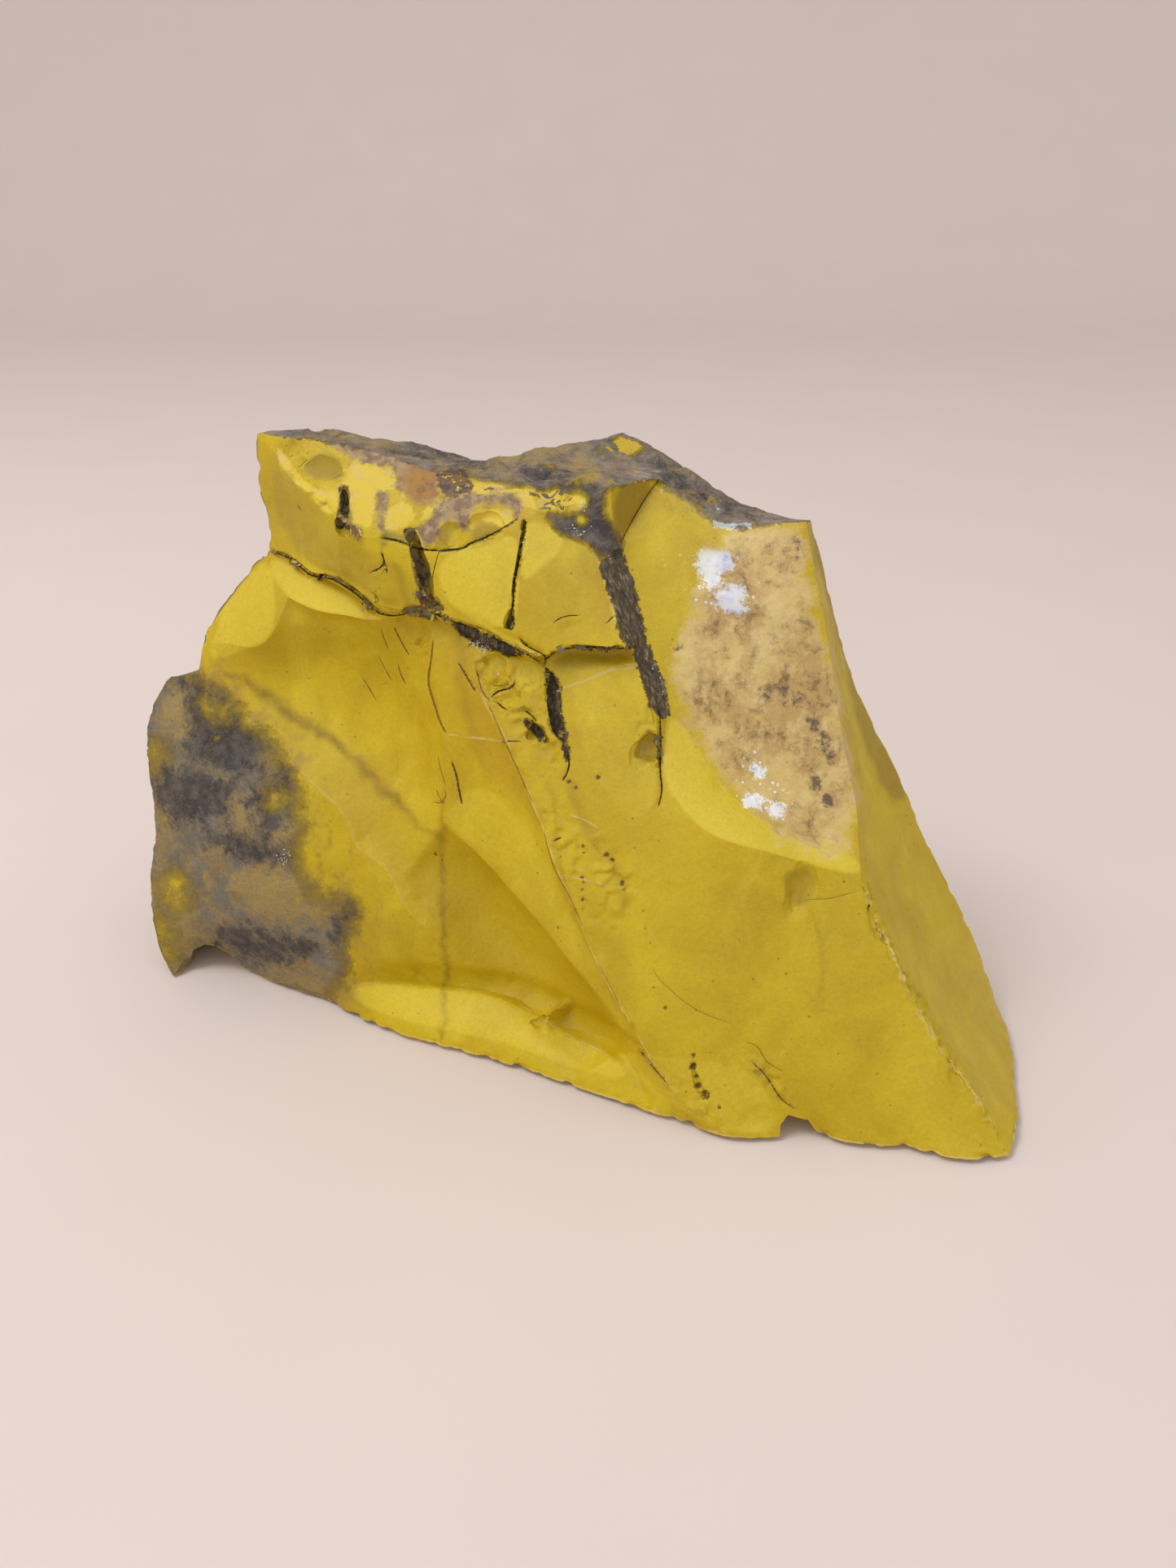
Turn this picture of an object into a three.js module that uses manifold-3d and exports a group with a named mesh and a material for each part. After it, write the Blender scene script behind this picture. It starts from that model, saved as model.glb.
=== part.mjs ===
// A rough lump of mookaite: one broken piece of opaque yellow jasper with a dark weathered crust on its crown
// and left lobe. Millimetres, +Z up; +X runs along the lump's length and the broken front faces -Y.
//
// The skin is a net of ridges. Each face is a fracture surface hung between the ridges around it and then
// dished or swollen like a membrane, which is how jasper breaks. Smaller scars, slots, nicks and the notch
// are cut afterwards.
import * as THREE from "three";
import { mergeVertices } from "three/addons/utils/BufferGeometryUtils.js";
import { SimplexNoise } from "three/addons/math/SimplexNoise.js";
import Module from "manifold-3d";

// ---- Driving dimensions, mm ----
const FRONT_GRAIN = 3.3; // side of a triangle on the broken front
const REAR_GRAIN = 6.5; // side of a triangle on the rear and the sole
const SOLE_SWELL = 3.0; // how far the sole swells before it is ground flat by the surface
const CRUST_WAVE = 7.0; // spacing of the crust's lumps
const RIPPLE_SEED = 11;
const SPLIT_FACTOR = 1.4; // an edge is split when it is this many grains long
const RELAX_PASSES = 220; // passes that settle a face's membrane
const FLIP_PASSES = 30; // the most passes that turn a face's diagonals
const SMOOTH_PASSES = 4; // passes that even out a face's triangles after each split
const SCAR_RADIUS = 2.5; // a scar's cutter is this many times as thick as the scar is deep
const WIDE_SCAR = 12; // a scar wider than this has an evener outline
const OUTLINE_BUMP = 0.28; // how uneven a small hollow's outline is, as a share of its radius
const WIDE_BUMP = 0.12; // and a wide scar's
const SPECK = 1e-6; // an area, in square mm, too small for a triangle
const SLIVER = 1e-4; // and the smallest that evening out may leave
const LEAST_ACROSS = 0.3; // below this a face lies too flat for the upright to give its directions
const FINE_WAVE = 3; // spacing of the small lumps that ride on the crust's big ones
const FINE_SHARE = 0.4; // their height as a share of the big ones'
const OUTSIDE = 300; // a distance that is clear of the stone on every side
const HALF_SPACE = 400; // side of the block that stands for the surface under the stone

const STONE = new THREE.MeshStandardMaterial({ color: 0xcdab2c, roughness: 0.45, metalness: 0 });

// ---- Junctions: where three or more faces meet ----
const junction = {
  foot: [-77, 6, 0.5],
  ledgeEnd: [-42, -5, 1],
  lip: [-41.5, -4.5, 6.5],
  ledgeHead: [-15.8, -9.5, 9],
  ledgeTail: [10, -26.5, 7.2],
  ledgeFoot: [13.5, -32, 1],
  nose: [28, -38, 1],
  corner: [69, -41.5, 1],
  sideBack: [78, -6, 2.5],
  scoopLeft: [-66, 15, 59.5],
  lobeTop: [-72.5, 19, 57.5],
  crackLeft: [-51.5, 17, 81],
  bevelEnd: [-30, 2.5, 74],
  veinTop: [-22, 0.5, 74.3],
  spurTop: [-14.5, -2, 73],
  elbowLow: [10.3, -7, 71.5],
  elbowUp: [10, -10, 73.5],
  hornFoot: [-36.5, 3.5, 80],
  hornKnee: [-36.5, 3.5, 87.5],
  hornTip: [-51, 18, 100.5],
  seamTop: [-4.5, 1, 92],
  recessTop: [6.5, 2, 95.5],
  valleyFoot: [8, 1, 86.5],
  seamKnee: [15.5, -9.5, 62.5],
  seamFoot: [14, -15.5, 55],
  crustStart: [14.5, 9.5, 95],
  topRight: [37, 2, 90],
  topRightBack: [38.5, 7, 89],
  bandRight: [45.5, -23, 40.5],
  bandTopRight: [45.5, -19, 45],
  skyLeft: [-27.5, 26, 97],
  rearLeft: [-79, 34, 1.5],
  rearMiddle: [-8, 47, 1.5],
  rearRight: [60, 24, 1.5],
  kneeLeft: [-69, 36, 50],
  kneeMiddle: [-20, 43, 60],
  kneeRight: [33, 33, 52],
};

// ---- Ridges of the front: [from, points between, to] ----
const frontRidges = {
  baseLobe: [
    "foot", [-72.5, 11, 1.5], [-67, 10.5, 1.5], [-63, 8, 0.5], [-52, 1, 1], [-46.5, -1, 1], "ledgeEnd",
  ],
  baseLedge: [
    "ledgeEnd", [-32.5, -11, 1], [-25.5, -14, 1], [-15.5, -18, 1], [-4.5, -23, 1], [7.5, -29, 1], "ledgeFoot",
  ],
  baseNose: ["ledgeFoot", [17.5, -33.5, 1], [25, -37.5, 1], "nose"],
  baseRight: [
    "nose", [33, -37.5, 1], [40, -36.8, 1], [46, -39.5, 1], [53.5, -39.5, 1], [58.5, -41.8, 1],
    [63.5, -42.5, 1], "corner",
  ],
  baseSide: ["corner", [71.5, -38, 1.5], [75, -25.5, 1.5], [78, -13.5, 2], "sideBack"],
  lipEnd: ["ledgeEnd", "lip"],
  ledgeTopLeft: ["lip", [-32.3, -5.5, 8], [-23.3, -7.5, 8.6], "ledgeHead"],
  ledgeTopRight: [
    "ledgeHead", [-8.9, -12.5, 8.8], [-5.4, -16, 7.6], [-2, -18, 7.6], [4, -22, 7.6], "ledgeTail",
  ],
  ledgeEndRight: ["ledgeTail", "ledgeFoot"],
  lobeRidge: [
    "scoopLeft", [-62.5, 12, 56.5], [-58, 9, 53.5], [-53, 6.5, 51], [-47.5, 3, 47], [-42.5, 0, 43.5],
    [-38, -3, 40], [-36.5, -5, 35.5], [-33, -6.5, 34], [-30.5, -7.5, 31.5], [-28.5, -9.5, 26.5],
    [-24, -10.5, 22], [-19, -10, 15], "ledgeHead",
  ],
  lobeSide: [
    "foot", [-80, 9, 5], [-80.5, 10.5, 12], [-80.5, 12, 18.5], [-78.5, 12.5, 26], [-77.5, 13, 33],
    [-77.5, 14, 39], [-78, 15.5, 44.5], [-77, 17, 50], [-74.5, 18, 55], "lobeTop",
  ],
  lobeTopEdge: ["lobeTop", "scoopLeft"],
  shoulder: [
    "scoopLeft", [-65, 17, 64.5], [-64.5, 18, 67], [-61.5, 18.5, 70.5], [-58.5, 19, 74], [-54.5, 19, 78.5],
    "crackLeft",
  ],
  facetLine: [
    "scoopLeft", [-62.5, 15.5, 65], [-60.5, 14.5, 66], [-55, 11.5, 65.5], [-50, 9, 69.5], [-47, 9.5, 75.5],
    [-43.5, 7, 74.5], [-39.5, 5, 74], [-35.5, 3.5, 74.5], [-33, 2.5, 73.5], "bevelEnd",
  ],
  crackLowLeft: [
    "crackLeft", [-47.5, 15, 80.3], [-43, 10.5, 78], [-39.5, 9.5, 78.3], [-34.5, 5.5, 76], "bevelEnd",
  ],
  crackLowMiddle: ["bevelEnd", "veinTop"],
  crackLowRight: ["veinTop", "spurTop"],
  crackLowFar: [
    "spurTop", [-10, -3.5, 71.5], [-7.5, -4.5, 70], [-4, -6.5, 69.5], [-1, -6, 71.3], [3, -6, 71.5],
    "elbowLow",
  ],
  crackUpLeft: ["crackLeft", [-47, 13, 81.5], [-42, 7.5, 80], [-39, 6, 80], "hornFoot"],
  crackUpRight: [
    "hornFoot", [-33.5, 2.5, 78.5], [-29.5, 0, 76], [-26.5, 0, 77], [-21.5, -2.5, 76.2], [-17, -4, 75.6],
    [-14.5, -5, 75], [-10, -7, 73.5], [-4, -9, 71.3], [-1, -9, 73.5], [3, -9, 73.7], [6.5, -9.5, 73.7],
    "elbowUp",
  ],
  elbow: ["elbowUp", "elbowLow"],
  crease: [
    "veinTop", [-22, -1, 70], [-21.5, -3, 62.5], [-20.5, -5, 57], [-21, -6, 49], [-21, -7.5, 41.5],
    [-14, -10.5, 36], [-6, -16, 28.5], [-2, -19, 25], [4.5, -24.5, 19], [9, -27.6, 12], "ledgeTail",
  ],
  spur: [
    "spurTop", [-15, -3.5, 70], [-14, -7, 64], [-11.5, -9, 61], [-8, -13, 54.5], [-4.5, -17, 46.5],
    [-2, -20, 40], [-0.5, -21.5, 37], [4, -26, 27], [6, -27.8, 23.5], [9.5, -30.3, 18], [12.5, -32, 13],
    [16.5, -34, 7.5], [24, -36.8, 2], "nose",
  ],
  hornRidgeLow: ["hornKnee", "hornFoot"],
  hornRidge: ["hornTip", [-47, 14, 97.5], [-44.5, 10, 94.5], [-40.5, 7, 93], [-37, 4.5, 90.5], "hornKnee"],
  hornSide: ["crackLeft", [-51, 18, 86], [-51.3, 18, 89], [-52, 18, 92], [-51.5, 18, 97], "hornTip"],
  browLine: [
    "hornKnee", [-29.5, 1.5, 87.5], [-20.5, -0.5, 86], [-13.5, -0.5, 88], [-8, 0.3, 90.5], "seamTop",
  ],
  frontTop: [
    "hornTip", [-46, 15, 100.3], [-40, 13, 100.5], [-33.5, 11, 99.5], [-26, 9, 98], [-20, 6.5, 96],
    [-12, 4, 94.5], "seamTop",
  ],
  seamLeft: [
    "seamTop", [-1, 0, 88.7], [2, -1, 88], [4.5, -2, 86], [6, -4.5, 81.5], [7.5, -8, 76.5], "elbowUp",
  ],
  seamLeftLow: ["elbowLow", [11, -9, 69.5], [12.5, -11, 65.5], [13.5, -12.5, 62], [14, -14, 59], "seamFoot"],
  seamRight: ["recessTop", [7, 1, 90], "valleyFoot"],
  seamRightMiddle: ["valleyFoot", [10.5, -1, 80.5], [12, -4, 74.5], [13.8, -6, 70.5], "seamKnee"],
  seamRightLow: ["seamKnee", "seamFoot"],
  seamCrown: ["seamTop", [2.5, 1.5, 93.3], "recessTop"],
  recessCrown: ["recessTop", "crustStart"],
  valley: ["crustStart", [11, 6, 90.5], "valleyFoot"],
  crustRight: [
    "crustStart", [19, 8, 92], [21.5, 7, 90], [24, 6, 89], [26.5, 5.5, 88.5], [32.5, 4, 89.3], "topRight",
  ],
  ridgeTop: [
    "topRight", [38.5, -1, 82.5], [40.5, -4.5, 74], [43, -11, 59.5], [45, -16, 50.5], "bandTopRight",
  ],
  ridgeBand: ["bandTopRight", "bandRight"],
  ridgeLow: [
    "bandRight", [48.5, -26.5, 34.5], [53.5, -31, 24], [57.5, -33.5, 17.5], [61.5, -36, 13], [65, -38.5, 8],
    "corner",
  ],
  bandLower: [
    "seamFoot", [19.5, -20.5, 49], [24, -22.5, 47], [31, -23.5, 45.5], [38, -23.5, 43], "bandRight",
  ],
  bandUpper: [
    "seamKnee", [20, -11, 58.5], [24.5, -15, 51.5], [31.5, -17.5, 47.5], [39.5, -18.5, 45], "bandTopRight",
  ],
  topCorner: ["topRight", "topRightBack"],
};

// ---- Ridges of the sides, the crown's rear edge, the rear and the sole ----
const rearRidges = {
  sideRear: [
    "topRightBack", [40.5, 6.5, 83.5], [44, 6, 72.5], [48.5, 4, 60.5], [56, 1, 47], [63.5, -1, 32],
    [69.5, -2.5, 21.5], [74, -3.5, 12.5], "sideBack",
  ],
  skyNear: ["hornTip", [-47, 21, 100.3], [-42.5, 24, 100.5], [-35.5, 25, 99], "skyLeft"],
  skyFar: [
    "skyLeft", [-20, 26, 95], [-14, 25, 94], [-7, 26, 96], [0.5, 27, 97], [9, 27, 99], [14.5, 25, 97],
    [20.5, 21, 93.7], [28.5, 15, 89.7], [34, 10.5, 88.7], "topRightBack",
  ],
  baseRearRight: ["sideBack", [73, 9, 1.5], "rearRight"],
  baseRearMiddle: ["rearRight", [42, 36, 2], [20, 42, 1], "rearMiddle"],
  baseRearLeft: ["rearMiddle", [-32, 45, 2], [-58, 42, 1], "rearLeft"],
  baseLeft: ["rearLeft", [-83, 20, 1], "foot"],
  rearLobe: ["lobeTop", [-72, 28, 54], "kneeLeft"],
  rearLeftEdge: ["kneeLeft", [-75, 38, 26], "rearLeft"],
  rearTopLeft: ["kneeLeft", [-46, 42, 56], "kneeMiddle"],
  rearFin: ["skyLeft", [-25, 36, 80], "kneeMiddle"],
  rearKeel: ["kneeMiddle", [-12, 48, 32], "rearMiddle"],
  rearTopRight: ["kneeMiddle", [6, 41, 54], "kneeRight"],
  rearRightArm: ["topRightBack", [37, 20, 73], "kneeRight"],
  rearRightEdge: ["kneeRight", [48, 32, 26], "rearRight"],
};

// ---- Faces: the ridges around each, anticlockwise from outside; "-" runs a ridge backwards ----
// dish is the bulge in mm at the middle (below zero: hollow), rough the height of the crust's lumps.
const faces = [
  { round: "baseLobe lipEnd ledgeTopLeft -lobeRidge -lobeTopEdge -lobeSide", dish: 3.5, rough: 0.9 },
  { round: "baseLedge -ledgeEndRight -ledgeTopRight -ledgeTopLeft -lipEnd", dish: 1.2 },
  { round: "lobeRidge ledgeTopRight -crease -crackLowMiddle -facetLine", dish: -6.0 },
  { round: "baseNose -spur -crackLowRight crease ledgeEndRight", dish: -1.0 },
  { round: "facetLine -crackLowLeft -shoulder", dish: 0.5 },
  {
    round: "crackLowLeft crackLowMiddle crackLowRight crackLowFar -elbow -crackUpRight -crackUpLeft",
    dish: -0.2,
  },
  { round: "baseRight -ridgeLow -bandLower -seamLeftLow -crackLowFar spur", dish: 0.8 },
  { round: "crackUpLeft -hornRidgeLow -hornRidge -hornSide", dish: -0.8 },
  { round: "crackUpRight -seamLeft -browLine hornRidgeLow", dish: 0.9 },
  { round: "browLine -frontTop hornRidge", dish: 0.6, rough: 0.5 },
  { round: "seamLeft elbow seamLeftLow -seamRightLow -seamRightMiddle -seamRight -seamCrown", dish: -0.4 },
  { round: "seamRight -valley -recessCrown", dish: -0.3 },
  { round: "seamRightMiddle bandUpper -ridgeTop -crustRight valley", dish: 1.2 },
  { round: "seamRightLow bandLower -ridgeBand -bandUpper", dish: 0.2 },
  { round: "baseSide -sideRear -topCorner ridgeTop ridgeBand ridgeLow", dish: -1.6, from: [1, -0.3, 0.3] },
  {
    round: "frontTop seamCrown recessCrown crustRight topCorner -skyFar -skyNear",
    dish: 1.6,
    rough: 1.8,
    from: [0, -0.25, 1],
  },
  {
    round: "skyNear rearFin -rearTopLeft -rearLobe lobeTopEdge shoulder hornSide",
    dish: -3.0,
    rough: 0.6,
    coarse: true,
    from: [-0.45, 1, 0.25],
  },
  { round: "lobeSide rearLobe rearLeftEdge baseLeft", dish: 1.5, rough: 0.7, coarse: true },
  { round: "rearTopLeft rearKeel baseRearLeft -rearLeftEdge", dish: -5.5, coarse: true },
  { round: "skyFar rearRightArm -rearTopRight -rearFin", dish: 2.0, rough: 1.2, coarse: true },
  { round: "rearTopRight rearRightEdge baseRearMiddle -rearKeel", dish: -3.5, coarse: true },
  { round: "sideRear baseRearRight -rearRightEdge -rearRightArm", dish: -2.0, coarse: true },
  {
    round:
      "-baseLobe -baseLeft -baseRearLeft -baseRearMiddle -baseRearRight -baseSide -baseRight -baseNose " +
      "-baseLedge",
    dish: SOLE_SWELL,
    coarse: true,
  },
];

// ---- Hollows cut after the skin is whole: place, size across and up, depth, all mm; lean in degrees ----
const frontCuts = [
  { name: "leaf-shaped hole", x: -23.0, z: 83.6, across: 2.5, up: 12.5, deep: 4.2, lean: 20, slot: true },
  { name: "hollow below the leaf", x: -21.6, z: 77.8, across: 4.2, up: 3.0, deep: 1.6, lean: 10, slot: true },
  { name: "long slot", x: -2.4, z: 64.0, across: 1.8, up: 11, deep: 1.5, lean: 10, slot: true },
  { name: "thin upright crack", x: -7.8, z: 85.5, across: 0.55, up: 12, deep: 1.7, lean: -7, slot: true },
  { name: "three-cornered opening", x: -9.2, z: 76.9, across: 1.7, up: 3.4, deep: 2.0, lean: -12, slot: true },
  { name: "horn slot", x: -35.3, z: 92.0, across: 1.5, up: 5.8, deep: 2.0, lean: 5, slot: true },
  { name: "horn hollow", x: -35.8, z: 88.8, across: 2.6, up: 3.2, deep: 1.5, lean: 30, slot: true },
  { name: "round scar on the horn", x: -39.0, z: 96.7, across: 6.6, up: 4.6, deep: 1.1 },
  { name: "left thumb scar", x: -18.1, z: 88.6, across: 5.2, up: 5.2, deep: 1.1, lean: -15 },
  { name: "right thumb scar", x: -12.7, z: 89.8, across: 5.6, up: 5.0, deep: 1.0, lean: 15 },
  { name: "long flake scar", x: 36.0, z: 39.8, across: 5.5, up: 9.0, deep: 0.7, lean: -20 },
  { name: "small hole", x: -5.4, z: 60.0, across: 3.8, up: 2.0, deep: 1.5, lean: 35, slot: true },
  { name: "rippled chip", x: 12.0, z: 58.0, across: 4.6, up: 6.2, deep: 0.9, lean: -35 },
  { name: "upper stair chip", x: -12.4, z: 68.2, across: 5.6, up: 5.0, deep: 1.1, lean: 20 },
  { name: "lower stair chip", x: -9.8, z: 64.6, across: 4.2, up: 3.4, deep: 0.9, lean: 10 },
  { name: "pitted seam", x: 20.6, z: 9.2, across: 1.4, up: 5.2, deep: 0.8, lean: 22, slot: true },
  { name: "dent in the ledge", x: -5.6, z: 7.4, across: 3.2, up: 2.0, deep: 0.8, lean: 20, slot: true },
];
const rearCuts = [
  { name: "left scar, opening at the base", x: -50, z: 11, across: 46, up: 46, deep: 4.0, lean: 15 },
  { name: "right scar, opening at the base", x: 40, z: 7, across: 48, up: 42, deep: 3.4, lean: -15 },
  { name: "scar across the keel", x: -12, z: 31, across: 26, up: 32, deep: 3.0, lean: 12 },
  { name: "scar under the rear shelf", x: 9, z: 55, across: 28, up: 18, deep: 2.2, lean: 8 },
  { name: "scar down the fin", x: -25, z: 79, across: 15, up: 22, deep: 1.7, lean: -8 },
  { name: "left shoulder scar", x: -50, z: 66, across: 24, up: 18, deep: 2.2, lean: 35 },
];
const crownCuts = [
  { name: "saddle hollow", x: -16, y: 17, across: 15, up: 11, deep: 1.6 },
  { name: "peak hollow", x: 20, y: 14, across: 10, up: 8, deep: 1.2, lean: 30 },
  { name: "horn hollow", x: -38, y: 19, across: 11, up: 6, deep: 1.0, lean: 10 },
];
const soleCuts = [
  { name: "left hollow", x: -48, y: 24, across: 30, up: 22, deep: 1.2 },
  { name: "right hollow", x: 45, y: 2, across: 26, up: 30, deep: 1.4, lean: 20 },
];
const NICK_SIZES = [1.4, 1.0, 1.7, 0.9, 1.2, 0.8, 1.5];
const NICK_STAND_OFF = new THREE.Vector3(0.55, -0.35, 0.3); // a nick's centre off the ridge, in its own sizes
const ARCH = { x: -69.5, y: 10, halfWidth: 5.4, reach: 10, height: 6.6 };
const NOTCH_OUTLINE = [[-3.2, -2], [6.4, -2], [5.2, 0.2], [3.3, 1.6], [1.8, 3.8], [-1.3, 4.3], [-2.5, 3.1],
  [-2.7, 0]];
const NOTCH = { x: 36.3, rearY: -31, reach: 15 };

// ---- The net: every junction and ridge point once, shared by the faces that meet there ----
const netPoints = [];
const junctionIds = new Map();

function addPoint(place) {
  netPoints.push(place.clone());
  return netPoints.length - 1;
}

function junctionId(name) {
  if (!junctionIds.has(name)) {
    junctionIds.set(name, addPoint(new THREE.Vector3(...junction[name])));
  }
  return junctionIds.get(name);
}

// A ridge as point numbers: a smooth curve through its points, cut into steps of about one grain.
function ridgePointIds(stops, grain) {
  const corners = stops.map((stop) => (typeof stop === "string" ? junction[stop] : stop));
  const places = corners.map((corner) => new THREE.Vector3(...corner));
  const curve = new THREE.CatmullRomCurve3(places, false, "centripetal");
  const steps = Math.max(1, Math.round(curve.getLength() / grain));
  const inner = curve.getSpacedPoints(steps).slice(1, -1).map(addPoint);
  return [junctionId(stops[0]), ...inner, junctionId(stops.at(-1))];
}

const ridgeIds = new Map();
for (const [name, stops] of Object.entries(frontRidges)) {
  ridgeIds.set(name, ridgePointIds(stops, FRONT_GRAIN));
}
for (const [name, stops] of Object.entries(rearRidges)) {
  ridgeIds.set(name, ridgePointIds(stops, REAR_GRAIN));
}

function loopAround(round) {
  const loop = [];
  for (const word of round.split(" ")) {
    const backwards = word.startsWith("-");
    const ids = [...ridgeIds.get(backwards ? word.slice(1) : word)];
    if (backwards) {
      ids.reverse();
    }
    if (loop.length > 0 && loop.at(-1) !== ids[0]) {
      throw new Error(`${word} doesn't start where the ridge before it ends`);
    }
    loop.push(...ids.slice(loop.length > 0 ? 1 : 0));
  }
  if (loop[0] !== loop.pop()) {
    throw new Error(`the ridges "${round}" don't close`);
  }
  return loop;
}

// ---- Filling one face ----
// The loop's average normal, by Newell's sum.
function loopNormal(places) {
  const sum = new THREE.Vector3();
  places.forEach((here, index) => {
    const next = places[(index + 1) % places.length];
    sum.x += (here.y - next.y) * (here.z + next.z);
    sum.y += (here.z - next.z) * (here.x + next.x);
    sum.z += (here.x - next.x) * (here.y + next.y);
  });
  return sum.normalize();
}

function edgeKey(a, b) {
  return a < b ? `${a},${b}` : `${b},${a}`;
}

// Every edge with the one or two triangles beside it.
function edgesOf(triangles) {
  const edges = new Map();
  triangles.forEach((corners, index) => {
    corners.forEach((start, side) => {
      const end = corners[(side + 1) % 3];
      const key = edgeKey(start, end);
      if (!edges.has(key)) {
        edges.set(key, { start, end, beside: [] });
      }
      edges.get(key).beside.push(index);
    });
  });
  return edges;
}

function area(a, b, c) {
  return (b.x - a.x) * (c.y - a.y) - (b.y - a.y) * (c.x - a.x);
}

function farCorner(corners, edge) {
  return corners.find((id) => id !== edge.start && id !== edge.end);
}

// How much better the pair of triangles is with its diagonal the other way: above zero, it turns.
function flipGain(flat, edge, left, right) {
  const [a, b, c, d] = [edge.start, edge.end, left, right].map((id) => flat[id]);
  const first = area(c, d, b);
  const second = area(d, c, a);
  if (first * second <= 0 || Math.min(Math.abs(first), Math.abs(second)) < SPECK) {
    return -1;
  }
  const angle = (tip, p, q) => {
    const u = p.clone().sub(tip);
    const v = q.clone().sub(tip);
    return Math.acos(THREE.MathUtils.clamp(u.dot(v) / (u.length() * v.length()), -1, 1));
  };
  return angle(c, a, b) + angle(d, a, b) - Math.PI - 1e-9;
}

function flipEdges(flat, triangles) {
  for (let pass = 0; pass < FLIP_PASSES; pass += 1) {
    const touched = new Set();
    let flips = 0;
    for (const edge of edgesOf(triangles).values()) {
      const [one, two] = edge.beside;
      if (two === undefined || touched.has(one) || touched.has(two)) {
        continue;
      }
      const left = farCorner(triangles[one], edge);
      const right = farCorner(triangles[two], edge);
      if (flipGain(flat, edge, left, right) <= 0) {
        continue;
      }
      const wind = (p, q, r) => (area(flat[p], flat[q], flat[r]) > 0 ? [p, q, r] : [p, r, q]);
      triangles[one] = wind(left, right, edge.end);
      triangles[two] = wind(left, right, edge.start);
      touched.add(one);
      touched.add(two);
      flips += 1;
    }
    if (flips === 0) {
      return;
    }
  }
}

// Splits every inner edge that is too long; returns whether any was.
function splitEdges(flat, triangles, longest) {
  const inner = [...edgesOf(triangles).values()].filter((edge) => edge.beside.length === 2);
  const long = inner.filter((edge) => flat[edge.start].distanceTo(flat[edge.end]) > longest);
  long.sort((p, q) => flat[q.start].distanceTo(flat[q.end]) - flat[p.start].distanceTo(flat[p.end]));
  const touched = new Set();
  for (const edge of long) {
    if (edge.beside.some((index) => touched.has(index))) {
      continue;
    }
    flat.push(flat[edge.start].clone().lerp(flat[edge.end], 0.5));
    const middle = flat.length - 1;
    for (const index of edge.beside) {
      const corners = triangles[index];
      touched.add(index);
      triangles.push(corners.map((id) => (id === edge.start ? middle : id)));
      triangles[index] = corners.map((id) => (id === edge.end ? middle : id));
      touched.add(triangles.length - 1);
    }
  }
  return long.length > 0;
}

function neighboursOf(count, triangles) {
  const neighbours = Array.from({ length: count }, () => new Set());
  for (const edge of edgesOf(triangles).values()) {
    neighbours[edge.start].add(edge.end);
    neighbours[edge.end].add(edge.start);
  }
  return neighbours.map((set) => [...set]);
}

// Moves each inner point to the middle of its neighbours, as long as no triangle turns over.
function evenOut(flat, triangles, rim) {
  const neighbours = neighboursOf(flat.length, triangles);
  const around = Array.from({ length: flat.length }, () => []);
  triangles.forEach((corners) => corners.forEach((id) => around[id].push(corners)));
  for (let id = rim; id < flat.length; id += 1) {
    const before = flat[id].clone();
    const middle = new THREE.Vector2();
    neighbours[id].forEach((other) => middle.add(flat[other]));
    flat[id].copy(middle.divideScalar(neighbours[id].length));
    if (around[id].some(([a, b, c]) => area(flat[a], flat[b], flat[c]) <= SLIVER)) {
      flat[id].copy(before);
    }
  }
}

// Settles a height at every inner point: the mean of its neighbours plus a push.
function settle(heights, neighbours, rim, push) {
  for (let pass = 0; pass < RELAX_PASSES; pass += 1) {
    for (let id = rim; id < heights.length; id += 1) {
      const sum = neighbours[id].reduce((total, other) => total + heights[other], 0);
      heights[id] = sum / neighbours[id].length + push;
    }
  }
}

const noise = new SimplexNoise({ random: THREE.MathUtils.seededRandom });
THREE.MathUtils.seededRandom(RIPPLE_SEED);

function lumps(place) {
  const big = noise.noise3d(place.x / CRUST_WAVE, place.y / CRUST_WAVE, place.z / CRUST_WAVE);
  const small = noise.noise3d(place.z / FINE_WAVE + 9, place.x / FINE_WAVE, place.y / FINE_WAVE);
  return big + FINE_SHARE * small;
}

const netTriangles = [];

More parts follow.
